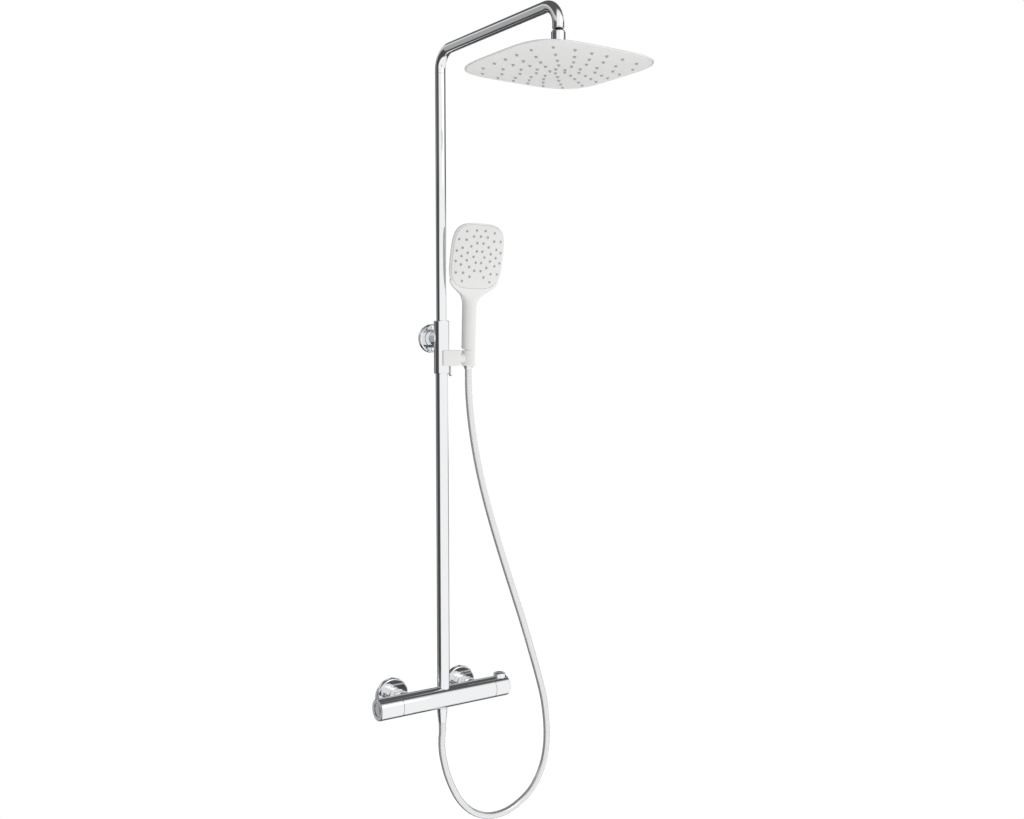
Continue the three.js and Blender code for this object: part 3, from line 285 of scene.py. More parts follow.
def sweep_tree():
    board, given = new_tree("swept_tube", [
        ("Radius", "NodeSocketFloat"), ("Sides", "NodeSocketInt"), ("Finish", "NodeSocketMaterial")])
    line = board.add("GeometryNodeMeshToCurve", None, {"Mesh": given["Geometry"]})
    parameter = board.add("GeometryNodeSplineParameter")
    marked = board.add("GeometryNodeStoreNamedAttribute", {"data_type": "FLOAT", "domain": "POINT"},
                       {"Geometry": line.outputs[0], "Name": "along", "Value": parameter.outputs["Length"]})
    section = board.add("GeometryNodeCurvePrimitiveCircle", None,
                        {"Resolution": given["Sides"], "Radius": given["Radius"]})
    tube = board.add("GeometryNodeCurveToMesh", None, {
        "Curve": marked.outputs[0], "Profile Curve": section.outputs["Curve"], "Fill Caps": True})
    smooth = board.add("GeometryNodeSetShadeSmooth", None,
                       {"Geometry": tube.outputs[0], "Shade Smooth": True})
    painted = board.add("GeometryNodeSetMaterial", None,
                        {"Geometry": smooth.outputs[0], "Material": given["Finish"]})
    board.add("NodeGroupOutput", None, {"Geometry": painted.outputs[0]})
    return board.tree


def grow(name, seed, tree, values):
    """Runs a tree on a seed mesh and gives the result as a plain mesh object at the origin."""
    holder = bpy.data.objects.new(name + "_seed", seed)
    scene.collection.objects.link(holder)
    modifier = holder.modifiers.new("make", "NODES")
    modifier.node_group = tree
    for item in tree.interface.items_tree:
        if item.item_type == "SOCKET" and item.in_out == "INPUT" and item.name in values:
            modifier[item.identifier] = values[item.name]
    depsgraph = bpy.context.evaluated_depsgraph_get()
    mesh = bpy.data.meshes.new_from_object(holder.evaluated_get(depsgraph), depsgraph=depsgraph)
    mesh.name = name
    bpy.data.objects.remove(holder)
    piece = bpy.data.objects.new(name, mesh)
    scene.collection.objects.link(piece)
    return piece


def chain(points):
    """A seed mesh of one open line through points, in metres."""
    mesh = bpy.data.meshes.new("line")
    mesh.from_pydata([tuple(point) for point in points], [(i, i + 1) for i in range(len(points) - 1)], [])
    return mesh


def face_outwards(mesh, weld=1e-7):
    """Merges doubles and points every face outwards."""
    work = bmesh.new()
    work.from_mesh(mesh)
    bmesh.ops.remove_doubles(work, verts=work.verts, dist=weld)
    bmesh.ops.recalc_face_normals(work, faces=work.faces)
    work.to_mesh(mesh)
    work.free()


tube_tree = sweep_tree()
print("sweep tree nodes", len(tube_tree.nodes))

# %% [markdown]
# ## The hose
# One hose runs from the valve's nut down round a loop and up into the cup. Its route is a list of points,
# the same as the solid model's. The hand shower moves and the valve doesn't, so the hose is made in two
# stretches that meet below the cup.

# %% The hose's centre line
CUP_OFFSET = 58.5
HOSE_RADIUS = 6.5
HOSE_START, HOSE_END = -50.2, 611.4
HOSE_SEAM = 522.5
HOSE_ROUTE = [
    (0, 5, HOSE_START), (0, 5, -66), (-1.5, 5, -85), (-0.5, 5, -106), (4, 5, -129), (11, 5, -153),
    (21, 5, -177), (34, 5, -201), (51, 5, -222), (72, 5, -239), (97, 4, -250), (124, 4, -254),
    (151, 4, -251), (177, 4, -241), (201, 3, -225), (220, 3, -203), (234, 3, -175), (241.5, 3, -143),
    (243, 3, -110), (240.5, 3, -77), (234.5, 2, -43), (225.5, 2, -9), (204.5, 2, 57), (181, 1, 124),
    (157, 1, 190), (133.5, 1, 255), (111, 0, 319), (92, 0, 381), (76.5, 0, 443), (65.5, 0, 504),
    (60, 0, 552), (CUP_OFFSET, 0, 582), (CUP_OFFSET, 0, HOSE_END),
]


def smooth_line(points, steps):
    """A centripetal Catmull-Rom line through points."""
    ends = [2 * points[0] - points[1], *points, 2 * points[-1] - points[-2]]
    line = []
    for before, start, end, after in zip(ends, ends[1:], ends[2:], ends[3:]):
        gap0, gap1, gap2 = ((b - a).length ** 0.5 for a, b in ((before, start), (start, end), (end, after)))
        leave = ((start - before) / gap0 - (end - before) / (gap0 + gap1) + (end - start) / gap1) * gap1
        arrive = ((end - start) / gap1 - (after - start) / (gap1 + gap2) + (after - end) / gap2) * gap1
        for i in range(steps):
            t = i / steps
            line.append(start + leave * t + (3 * (end - start) - 2 * leave - arrive) * t ** 2
                        + (2 * (start - end) + leave + arrive) * t ** 3)
    return [*line, points[-1].copy()]


def spaced(line, step):
    """The same line with points an even step apart."""
    total = sum((b - a).length for a, b in zip(line, line[1:]))
    count = max(2, round(total / step))
    out, walked, due = [line[0].copy()], 0.0, total / count
    for a, b in zip(line, line[1:]):
        piece = (b - a).length
        while due <= walked + piece + 1e-9 and len(out) < count:
            out.append(a.lerp(b, (due - walked) / piece))
            due += total / count
        walked += piece
    return [*out, line[-1].copy()]


def length_of(line):
    return sum((b - a).length for a, b in zip(line, line[1:]))


hose_line = smooth_line([Vector((x, y - WALL_TO_AXIS, z)) * MM for x, y, z in HOSE_ROUTE], 24)
seam_at = next(i for i in range(len(hose_line) - 1, 0, -1) if hose_line[i].z < HOSE_SEAM * MM)
low_line, high_line = hose_line[:seam_at + 1], hose_line[seam_at:]
print("hose", round(length_of(hose_line), 4), "m: lower", round(length_of(low_line), 4),
      "upper", round(length_of(high_line), 4))

# %% The hose's two stretches
HOSE_SIDES, RING_STEP = 24, 0.005


def hose_stretch(name, line, node):
    path = spaced(line, RING_STEP)
    piece = grow(name, chain(path), tube_tree,
                 {"Radius": HOSE_RADIUS * MM, "Sides": HOSE_SIDES, "Finish": hose_skin})
    face_outwards(piece.data)
    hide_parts(node)
    return piece, path


lower_hose, lower_path = hose_stretch("hose_lower_run", low_line, "hose_lower")
upper_hose, upper_path = hose_stretch("hose_upper_run", high_line, "hose_upper")
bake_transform(lower_hose)
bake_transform(upper_hose)
print("faces", len(lower_hose.data.polygons), len(upper_hose.data.polygons))

# %% [markdown]
# ## Turned pieces
# Most of a shower column is turned on a lathe, so most pieces here are a profile spun about an axis. A
# machined corner is never perfectly sharp: `eased` rounds each corner of a profile a little, and adds a
# line close beside each rounding so that the long flats stay flat in a mirror finish.

# %% Profiles and lathe work
EDGE_SHARE = 0.42  # the most that one rounding takes of the edge beside it
KEEPER_LINE = 1.5  # how far the extra line is from its corner, in roundings
SIDES, WIDE_SIDES = 72, 96  # facets round an ordinary piece and round a wide one
TURN_TO = {"Z": Matrix.Identity(3), "X": Matrix.Rotation(math.pi / 2, 3, "Y"),
           "-X": Matrix.Rotation(-math.pi / 2, 3, "Y"), "Y": Matrix.Rotation(-math.pi / 2, 3, "X")}


def eased(profile, ease, steps, closed):
    """Rounds the corners of a profile of (radius, height) points. Points on the axis stay."""
    points = [Vector(point) for point in profile]
    count = len(points)
    out = []
    for i, point in enumerate(points):
        if point.x == 0 or (not closed and i in (0, count - 1)):
            out.append(point)
            continue
        into, away = point - points[i - 1], points[(i + 1) % count] - point
        reach = min(ease, into.length * EDGE_SHARE, away.length * EDGE_SHARE)
        first, last = point - into.normalized() * reach, point + away.normalized() * reach
        if into.length > 4 * reach:
            out.append(point - into.normalized() * reach * KEEPER_LINE)
        for k in range(steps + 1):
            t = k / steps
            out.append(first * (1 - t) ** 2 + point * 2 * t * (1 - t) + last * t ** 2)
        if away.length > 4 * reach:
            out.append(point + away.normalized() * reach * KEEPER_LINE)
    return out


def spun(profile, sides, closed):
    """Points and faces of a profile spun about Z."""
    points, faces = [], []
    count = len(profile)
    for k in range(sides):
        angle = 2 * math.pi * k / sides
        points += [Vector((radius * math.cos(angle), radius * math.sin(angle), height))
                   for radius, height in profile]
        here, there = k * count, (k + 1) % sides * count
        for i in range(count if closed else count - 1):
            j = (i + 1) % count
            faces.append((here + i, there + i, there + j, here + j))
    return points, faces


def solid(name, shape, axis="Z", centre=(0, 0, 0)):
    """A mesh object from a shape made about Z in millimetres. It is turned to lie along an axis and moved
    to its centre, which is measured from the riser's axis, then welded and faced outwards."""
    points, faces = shape
    mesh = bpy.data.meshes.new(name)
    from_wall = Vector((0, -WALL_TO_AXIS, 0))
    mesh.from_pydata([tuple((TURN_TO[axis] @ point + Vector(centre) + from_wall) * MM) for point in points],
                     [], faces)
    face_outwards(mesh)
    piece = bpy.data.objects.new(name, mesh)
    scene.collection.objects.link(piece)
    return piece


def turned(name, profile, ease, steps, closed=True, sides=WIDE_SIDES, axis="Z", centre=(0, 0, 0)):
    """A turned piece. A closed profile runs all round its section; an open one is spun as it is."""
    return solid(name, spun(eased(profile, ease, steps, closed), sides, closed), axis, centre)


def rod(name, radius, low, high, ease=0.0, sides=SIDES, axis="Z", centre=(0, 0, 0)):
    """A round bar with eased ends, to be a piece or a tool."""
    return turned(name, [(0, low), (radius, low), (radius, high), (0, high)], ease, 4, False, sides, axis,
                  centre)


def tube(name, outer, inner, low, high, ease):
    return turned(name, [(inner, low), (outer, low), (outer, high), (inner, high)], ease, 3, sides=SIDES)


def prism(lower, upper):
    """The shape between two outlines with as many points as each other."""
    n = len(lower)
    sides = [(i, (i + 1) % n, (i + 1) % n + n, i + n) for i in range(n)]
    return [*lower, *upper], [tuple(range(n)), tuple(range(n, 2 * n)), *sides]


def block(name, x, y, z):
    points = [Vector((a, b, c)) for c in z for b in y for a in x]
    faces = [(0, 2, 3, 1), (4, 5, 7, 6), (0, 1, 5, 4), (2, 6, 7, 3), (0, 4, 6, 2), (1, 3, 7, 5)]
    return solid(name, (points, faces))


def combine(piece, operation, *tools):
    """Joins tools to a piece, or cuts them out of it, and leaves one plain mesh."""
    for tool in tools:
        modifier = piece.modifiers.new("with", "BOOLEAN")
        modifier.operation, modifier.solver, modifier.object = operation, "EXACT", tool
    bpy.context.view_layer.update()
    depsgraph = bpy.context.evaluated_depsgraph_get()
    mesh = bpy.data.meshes.new_from_object(piece.evaluated_get(depsgraph), depsgraph=depsgraph)
    piece.modifiers.clear()
    mesh.name = piece.name
    piece.data = mesh
    for tool in tools:
        bpy.data.objects.remove(tool)
    face_outwards(piece.data, 1e-6)
    return piece


def soften(piece, width, segments=4, angle=35):
    """Rounds the edges that are sharper than an angle in degrees."""
    bevel = piece.modifiers.new("edge", "BEVEL")
    bevel.width, bevel.segments, bevel.limit_method = width * MM, segments, "ANGLE"
    bevel.angle_limit = math.radians(angle)
    return combine(piece, "UNION")


def settle(piece, body, finish, crease=32):
    """Gives a finished piece its finish, shading and body, and hides the node that it stands for. A piece
    is named for that node, with an ending."""
    mesh = piece.data
    mesh.materials.clear()
    mesh.materials.append(finish)
    mesh.polygons.foreach_set("material_index", [0] * len(mesh.polygons))
    mesh.shade_smooth()
    mesh.set_sharp_from_angle(angle=math.radians(crease))
    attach(piece, body)
    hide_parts(piece.name.removesuffix("_fine"))
    return piece


print("lathe helpers ready")

# %% [markdown]
# ## The hose's end fittings
# The tapered cone drops into the cup, and the other nut screws onto the valve's outlet. Both are chrome
# with a short plain neck where the hose goes in. A shallow groove near the wide end marks where the nut
# turns on its sleeve.

# %% Hose cone and hose nut
CONE_TOP, CONE_LOW, CONE_END = 646.7, 615.7, 611.7
NUT_TOP, NUT_END = -21.9, -49.9
CONE_SOCKET, NUT_SOCKET = 6, 8
OUTLET_BEHIND = 5  # the outlet is this far behind the riser's axis


def hose_cone():
    profile = [(0, CONE_END), (7.6, CONE_END), (7.6, CONE_LOW - 0.4), (9.2, CONE_LOW + 0.6), (10.0, 640.4),
               (9.6, 640.8), (9.6, 641.6), (10.05, 642.0), (10.2, CONE_TOP), (7.4, CONE_TOP),
               (7.4, CONE_TOP - CONE_SOCKET), (0, CONE_TOP - CONE_SOCKET)]
    piece = turned("hose_cone_fine", profile, 0.35, 3, False, SIDES, centre=(CUP_OFFSET, 0, 0))
    return settle(piece, "hose_end", chrome)


def hose_nut():
    profile = [(0, NUT_END), (6.9, NUT_END), (9.1, NUT_TOP - 9.4), (8.8, NUT_TOP - 9.0), (8.8, NUT_TOP - 8.2),
               (9.3, NUT_TOP - 7.8), (9.3, NUT_TOP), (7.9, NUT_TOP), (7.9, NUT_TOP - NUT_SOCKET),
               (0, NUT_TOP - NUT_SOCKET)]
    piece = turned("hose_nut_fine", profile, 0.35, 3, False, SIDES, centre=(0, OUTLET_BEHIND, 0))
    return settle(piece, "valve", chrome)


cone, nut = hose_cone(), hose_nut()
round(length_of(lower_path), 4)
round(length_of(upper_path), 4)
print("cords", round(length_of(lower_path) + length_of(upper_path), 3), "m")

# %% [markdown]
# ## The bar valve
# The bar is one turned barrel with two inlet stubs behind it, a socket for the riser on top and the hose
# outlet below. It could be sculpted from one mesh, but joining and cutting turned solids is closer to how
# the casting is bored, and keeps every face true.

# %% Valve body
BAR_RADIUS, BAR_END = 20, 140
BODY_LEFT, BODY_RIGHT, BODY_BORE = -94.4, 107.4, 14.3
INLET_X = 75
RISER_SOCKET_FLOOR = 8
RISER_WIDE, RISER_NARROW = 11.5, 9.5


def valve_body():
    outlet = (0, OUTLET_BEHIND, 0)
    bar = rod("valve_body_fine", BAR_RADIUS, BODY_LEFT, BODY_RIGHT, 0.5, WIDE_SIDES, "X")
    parts = [rod("outlet", 9.3, -21.6, -14, 0.4, centre=outlet),
             rod("nipple", 7.4, -34, -14, 0.4, centre=outlet)]
    cutters = [rod("socket", RISER_WIDE + FIT, RISER_SOCKET_FLOOR, 30),
               rod("bore", 4, -40, 0, sides=32, centre=outlet),
               rod("left", BODY_BORE, BODY_LEFT - 5, BODY_LEFT + 47.3, axis="X"),
               rod("right", BODY_BORE, BODY_RIGHT - 62.3, BODY_RIGHT + 5, axis="X")]
    for side in (-1, 1):
        inlet = {"axis": "Y", "centre": (side * INLET_X, 0, 0)}
        parts += [rod("stub", 11, 16, 27, 0.4, **inlet), rod("spigot", 12.8, 26.5, 30, 0.3, **inlet)]
        cutters.append(rod("way", 8, 5, 35, sides=48, **inlet))
    combine(bar, "UNION", *parts)
    combine(bar, "DIFFERENCE", *cutters)
    return settle(bar, "valve", chrome)


print("valve body faces", len(valve_body().data.polygons))

# %% [markdown]
# The knobs continue the bar with a fine shadow gap. Each is a shell with a capped end; the cap sits in a
# ring-shaped groove. The temperature knob has a pocket on top for the round safety button, which is
# pushed in to go past 38 degrees.

# %% Knobs, caps and safety button
KNOB_CAP_RADIUS = 12
KNOB_BORE, KNOB_CHAMFER, SPINDLE_HOLE = 17.2, 1.2, 4.3
KNOB_WEB, WEB_THICKNESS = BAR_END - 7.6, 8
FLOW_KNOB_START, TEMPERATURE_KNOB_START = 95.0, 108.0
BUTTON_X, BUTTON_RADIUS, BUTTON_HOLLOW = 127, 11.5, 9.5
BUTTON_LOW, BUTTON_CROWN = 15.1, 26.3


def knob(name, inner, axis):
    profile = [(KNOB_BORE, inner), (BAR_RADIUS, inner), (BAR_RADIUS, BAR_END - KNOB_CHAMFER),
               (BAR_RADIUS - KNOB_CHAMFER, BAR_END), (KNOB_CAP_RADIUS + FIT, BAR_END),
               (KNOB_CAP_RADIUS + FIT, KNOB_WEB), (SPINDLE_HOLE, KNOB_WEB),
               (SPINDLE_HOLE, KNOB_WEB - WEB_THICKNESS), (KNOB_BORE, KNOB_WEB - WEB_THICKNESS)]
    return turned(name, profile, 0.45, 3, axis=axis)


def knob_cap(name, body_name, axis):
    profile = [(0, BAR_END - 2.6), (KNOB_CAP_RADIUS, BAR_END - 2.6), (KNOB_CAP_RADIUS, BAR_END - 0.4),
               (KNOB_CAP_RADIUS - 3.2, BAR_END), (KNOB_CAP_RADIUS - 4.0, BAR_END - 0.25), (0, BAR_END - 0.05)]
    return settle(turned(name, profile, 0.3, 3, False, SIDES, axis), body_name, chrome)


flow_knob = knob("flow_knob_fine", FLOW_KNOB_START, "-X")
settle(flow_knob, "flow_handle", chrome)
temperature_knob = knob("temperature_knob_fine", TEMPERATURE_KNOB_START, "X")
combine(temperature_knob, "DIFFERENCE",
        rod("pocket", BUTTON_RADIUS + FIT, 12.3, 30, centre=(BUTTON_X, 0, 0)))
settle(temperature_knob, "temperature_handle", chrome)
knob_cap("flow_knob_cap_fine", "flow_handle", "-X")
knob_cap("temperature_knob_cap_fine", "temperature_handle", "X")
button_profile = [(BUTTON_HOLLOW, BUTTON_LOW), (BUTTON_RADIUS, BUTTON_LOW), (BUTTON_RADIUS, 23.4),
                  (10.6, 25.0), (7.5, 26.0), (0, BUTTON_CROWN), (0, BUTTON_CROWN - 3),
                  (BUTTON_HOLLOW, BUTTON_CROWN - 3)]
button = turned("safety_button_fine", button_profile, 0.9, 4, False, SIDES, centre=(BUTTON_X, 0, 0))
combine(button, "DIFFERENCE", rod("under", BUTTON_HOLLOW, 14, 23.2, centre=(BUTTON_X, 0, 0)))
settle(button, "stop_button", chrome)
print("knobs and button done")

# %% [markdown]
# ## Wall unions
# Behind the bar each inlet has a hexagon nut with chamfered ends, and a bell-shaped rosette that hides the
# hole in the wall. The hexagon is cut down by a turned blank, as on the lathe, which gives the curved
# edges of a real nut.

# %% Union nuts and rosettes
NUT_LOW, NUT_HIGH, NUT_FLATS, NUT_CHAMFER = 24.2, 47.2, 31, 1.6


def union_nut(side, label):
    corner = NUT_FLATS / math.sqrt(3)
    ring = [(corner * math.cos(math.pi * i / 3), corner * math.sin(math.pi * i / 3)) for i in range(6)]
    hexagon = prism(*([Vector((x, y, z)) for x, y in ring] for z in (NUT_LOW, NUT_HIGH)))
    inlet = {"axis": "Y", "centre": (side * INLET_X, 0, 0)}
    piece = solid(label + "_union_nut_fine", hexagon, **inlet)
    face, edge = NUT_FLATS / 2 - 0.2, corner + 0.2
    blank = [(0, NUT_LOW), (face, NUT_LOW), (edge, NUT_LOW + NUT_CHAMFER), (edge, NUT_HIGH - NUT_CHAMFER),
             (face, NUT_HIGH), (0, NUT_HIGH)]
    combine(piece, "INTERSECT", turned("blank", blank, 0.3, 2, False, SIDES, **inlet))
    combine(piece, "DIFFERENCE", rod("grip", 11.3, NUT_LOW - 1, NUT_HIGH, **inlet),
            rod("thread", 13.4, 26.7, NUT_HIGH + 1, **inlet))
    soften(piece, 0.35, 2, 40)
    return settle(piece, "valve", chrome)


def rosette(side, label):
    profile = [(13.4, 47.8), (17, 47.8), (17, 58), (31, 58), (32.4, 58.8), (33, 60.5), (33, 68), (30.5, 68),
               (30.5, 60.5), (13.4, 60.5)]
    piece = turned(label + "_rosette_fine", profile, 0.8, 5, axis="Y", centre=(side * INLET_X, 0, 0))
    return settle(piece, "valve", chrome)


for side, label in ((-1, "hot"), (1, "cold")):
    union_nut(side, label)
    rosette(side, label)
print("unions done")

# %% [markdown]
# ## The riser
# Two drawn tubes: the upper slides in the lower, and the sleeve hides the place where the width changes.
# The sleeve and its post to the wall are one soldered piece, so they are joined here and bored through.

# %% Riser, sleeve and wall bracket
SLEEVE_LOW, SLEEVE_HIGH, BRACKET_HEIGHT = 604, 701, 669
BRACKET = {"axis": "Y", "centre": (0, 0, BRACKET_HEIGHT)}


def riser_sleeve():
    sleeve = rod("riser_sleeve_fine", 14.25, SLEEVE_LOW, SLEEVE_HIGH, 1.4, WIDE_SIDES)
    combine(sleeve, "UNION", rod("post", 16.5, 0, 33, 0.5, WIDE_SIDES, **BRACKET))
    combine(sleeve, "DIFFERENCE",
            rod("wide", RISER_WIDE + FIT, SLEEVE_LOW - 5, 690),
            rod("narrow", RISER_NARROW + FIT, 685, SLEEVE_HIGH + 5),
            rod("boss", 11.3, 17.25, 40, **BRACKET),
            rod("screw", 2.8, 650, BRACKET_HEIGHT, sides=24, centre=(0, 25.125, 0)))
    return settle(sleeve, "valve", pipe_chrome)


settle(tube("lower_riser_fine", RISER_WIDE, 10, RISER_SOCKET_FLOOR, 650, 0.4), "valve", pipe_chrome)
settle(tube("upper_riser_fine", RISER_NARROW, 8, 400, 1150, 0.25), "upper_column", pipe_chrome)
riser_sleeve()
cup_profile = [(16.8, 31), (24.5, 31), (26.5, 33), (26.5, 40), (24, 40), (24, 33.4), (16.8, 33.4)]
settle(turned("bracket_rosette_fine", cup_profile, 0.7, 5, **BRACKET), "valve", chrome)
print("riser done")

# %% [markdown]
# ## The hand shower's holder
# A white moulded clip wraps the sleeve, and carries a cup that tilts on a pin. Mouldings have soft edges
# everywhere, so the box is rounded first and the bores are cut after.

# %% Holder arm, cup and height lever
HOLDER_MIDDLE, HOLDER_HALF = 632.5, 14.5
HOLDER_LOW, HOLDER_HIGH = HOLDER_MIDDLE - HOLDER_HALF, HOLDER_MIDDLE + HOLDER_HALF
TILT_PIN = {"sides": 32, "axis": "X", "centre": (0, 0, HOLDER_MIDDLE)}


def holder_arm():
    clip = soften(block("holder_arm_fine", (-7, 32), (-17.5, 12), (HOLDER_LOW, HOLDER_HIGH)), 2.4, 5)
    combine(clip, "DIFFERENCE", rod("clip", 14.55, HOLDER_LOW - 1, HOLDER_HIGH + 1, sides=WIDE_SIDES),
            rod("pivot", 3.3, 10, 40, **TILT_PIN),
            block("room", (14.9, 27.2), (-3.8, 3.8), (HOLDER_LOW - 5, 626.3)))
    return settle(clip, "valve", white)


def holder_cup():
    profile = [(9.5, HOLDER_LOW), (12.6, HOLDER_LOW), (12.6, HOLDER_HIGH), (10.5, HOLDER_HIGH)]
    ring = turned("holder_cup_fine", profile, 0.8, 4, centre=(CUP_OFFSET, 0, 0))
    combine(ring, "UNION", rod("neck", 9, 32.3, 47.4, 0.8, axis="X", centre=(0, 0, HOLDER_MIDDLE)))
    combine(ring, "DIFFERENCE",
            block("slot", (CUP_OFFSET, CUP_OFFSET + 20), (-7.3, 7.3), (HOLDER_LOW - 5, HOLDER_HIGH + 5)),
            rod("pin", 3.3, 31, 41.3, **TILT_PIN))
    return settle(ring, "cup", white)


def height_lever():
    left, thick, half, pin = 16.7, 3, 3.5, 623
    outline = [(left, pin + 2.4), (left, 603), (left + 2, 599), (left + 5, 600), (left + thick, 605),
               (left + thick, pin + 2.4)]
    sides = ([Vector((x, y, z)) for x, z in outline] for y in (-half, half))
    lever = soften(solid("height_lever_fine", prism(*sides)), 0.6, 3)
    eye = {"axis": "Y", "centre": (left + thick / 2, 0, pin)}
    combine(lever, "UNION", rod("eye", 3, -half, half, 0.4, 40, **eye))
    combine(lever, "DIFFERENCE", rod("hole", 1.7, -9, 9, sides=24, **eye))
    return settle(lever, "lock_lever", chrome)


holder_arm()
holder_cup()
height_lever()
print("holder done")

# %% [markdown]
# ## The overhead arm
# One bent tube: up from the riser, out from the wall, and down at the end. The same sweep tree as the
# hose's carries a round section along straight stretches and even bends.

# %% Bent arm and ball nut
ARM_HEIGHT, ARM_REACH, ARM_BEND, TUBE_END = 1190, 353, 34, 1150
BEND_STEPS = 24
UNDER_ARM = (0, -ARM_REACH, 0)


def arm_path():
    line = [Vector((0, 0, TUBE_END + 0.3)), Vector((0, 0, TUBE_END + 2))]
    for middle, start in ((-ARM_BEND, 0), (ARM_BEND - ARM_REACH, 90)):
        for i in range(BEND_STEPS + 1):
            angle = math.radians(start + 90 * i / BEND_STEPS)
            line.append(Vector((0, middle + ARM_BEND * math.cos(angle),
                                ARM_HEIGHT - ARM_BEND + ARM_BEND * math.sin(angle))))
    line += [Vector((0, -ARM_REACH, TUBE_END + 2)), Vector((0, -ARM_REACH, TUBE_END))]
    return [(point - Vector((0, WALL_TO_AXIS, 0))) * MM for point in line]


arm = grow("shower_arm_fine", chain(arm_path()), tube_tree,
           {"Radius": RISER_NARROW * MM, "Sides": 64, "Finish": pipe_chrome})
face_outwards(arm.data)
settle(arm, "overhead_arm", pipe_chrome)
nut_profile = [(8.9, 1144.4), (7.0, 1133.5), (9.0, 1128.2), (9.4, 1126), (9.4, 1112), (11.4, 1112),
               (11.4, 1123), (11.0, 1123.4), (11.0, 1124.4), (11.4, 1124.8),
               (11.4, 1142.8), (10.2, 1145), (9.1, 1145)]
settle(turned("ball_nut_fine", nut_profile, 0.35, 3, sides=SIDES, centre=UNDER_ARM), "overhead_head", chrome)
stub_profile = [(0, 1120), (3.6, 1121), (6.0, 1123.4), (7.0, 1127), (6.0, 1130.6), (4.2, 1133.2), (3.8, 1135),
                (3.8, 1146.5), (9.3, 1148.4), (9.5, 1149.7), (7.7, 1149.7), (7.7, 1155.7), (0, 1155.7)]
settle(turned("ball_stub_fine", stub_profile, 0.5, 3, False, 64, centre=UNDER_ARM), "overhead_arm", chrome)
print("arm done")

# %% [markdown]
# ## Soft squares
# Both shower heads are squares with swollen sides and round corners. Such an outline follows one rule, the
# superellipse, so a body is a stack of outlines of different size and height. Rings close to each other
# make the crisp rims, and rings far apart make the flats.

# %% Superellipse bodies
HEAD_FACETS, HAND_FACETS = 144, 128


def ringed(rings, closed=False):
    """Points and faces of a body made of rings of points. A closed one joins its last ring to its first;
    otherwise both ends are filled towards their middles."""
    count, total = len(rings[0]), len(rings)
    points, faces = [point for ring in rings for point in ring], []
    for j in range(total if closed else total - 1):
        here, there = j * count, (j + 1) % total * count
        faces += [(here + i, here + (i + 1) % count, there + (i + 1) % count, there + i)
                  for i in range(count)]
    if not closed:
        for ring, first in ((rings[0], 0), (rings[-1], (total - 1) * count)):
            middle = len(points)
            points.append(sum(ring, Vector()) / count)
            faces += [(first + i, first + (i + 1) % count, middle) for i in range(count)]
    return points, faces


def stacked(levels, count, closed=False):
    """A body from (width, height, squareness, z) levels, each a superellipse."""
    rings = []
    for width, height, power, z in levels:
        ring = []
        for i in range(count):
            angle = 2 * math.pi * (i + 0.5) / count
            c, s = abs(math.cos(angle) / (width / 2)), abs(math.sin(angle) / (height / 2))
            radius = (c ** power + s ** power) ** (-1 / power)
            ring.append(Vector((radius * math.cos(angle), radius * math.sin(angle), z)))
        rings.append(ring)
    return ringed(rings, closed)


def crown_at(share, rise):
    """How far a crowned face stands out at a share of the way from its middle to its edge."""
    return rise * (1 - share ** 3)


def spray_face(size, power, rise, thick):
    """Levels of a spray face that looks down: a crowned face whose edge is rounded."""
    edge, straight = 1.2, 0.5
    levels = [(size - 0.2, power, thick), (size, power, thick - 0.2), (size, power, straight)]
    for step in range(1, 7):
        turn = math.radians(90 * step / 6)
        levels.append((size - edge + edge * math.cos(turn), power, straight - straight * math.sin(turn)))
    for share in (0.975, 0.95, 0.92, 0.88, 0.83, 0.77, 0.7, 0.62, 0.52, 0.4, 0.27, 0.14, 0.04):
        levels.append((size * share, power - (1 - share) * 1.6, -crown_at(share, rise)))
    return levels


# %% Overhead shell and spray face
HEAD_SIZE, HEAD_POWER, HEAD_FACE, HEAD_CROWN = 250, 4.2, 1089, 6.0
HEAD_SKIN, RIM_HALF, RIM_REACH = 2.2, 0.9, 1.8
PLATE_SIZE = HEAD_SIZE - 2 * HEAD_SKIN - 2 * FIT


def head_shape(levels, closed=False):
    rings = [(size, size, power, HEAD_FACE + z) for size, power, z in levels]
    return stacked(rings, HEAD_FACETS, closed)


def overhead_shell():
    inner = HEAD_SIZE - 2 * HEAD_SKIN
    levels = [(18.6, 2.0, 8.5), (34, 2.0, 8.2), (150, 2.4, 3.8), (inner - 9, 4.0, 3.6), (inner - 3, 4.1, 2.6),
              (inner, HEAD_POWER, 1.7), (inner, HEAD_POWER, 0.5), (inner + 0.2, HEAD_POWER, 0.15),
              (inner + 0.7, HEAD_POWER, 0.0)]
    for step in range(9):  # the rim is rounded below and slopes away above
        turn = math.radians(-90 + 90 * step / 8)
        levels.append((HEAD_SIZE - RIM_REACH + RIM_REACH * math.cos(turn), HEAD_POWER,
                       RIM_HALF + RIM_HALF * math.sin(turn)))
    levels += [(249.7, 4.2, 2.1), (248.4, 4.2, 2.7), (245, 4.2, 3.4), (238, 4.1, 4.3), (228, 4.0, 5.2),
               (214, 3.8, 6.0), (205, 3.6, 6.6), (170, 3.0, 7.7), (130, 2.5, 9.6), (90, 2.1, 11.6),
               (56, 2.0, 13.1), (42, 2.0, 13.6), (36, 2.0, 13.8), (19.4, 2.0, 13.9), (18.6, 2.0, 13.5)]
    piece = solid("overhead_shell_fine", head_shape(levels, closed=True), centre=UNDER_ARM)
    return settle(piece, "overhead_head", white)


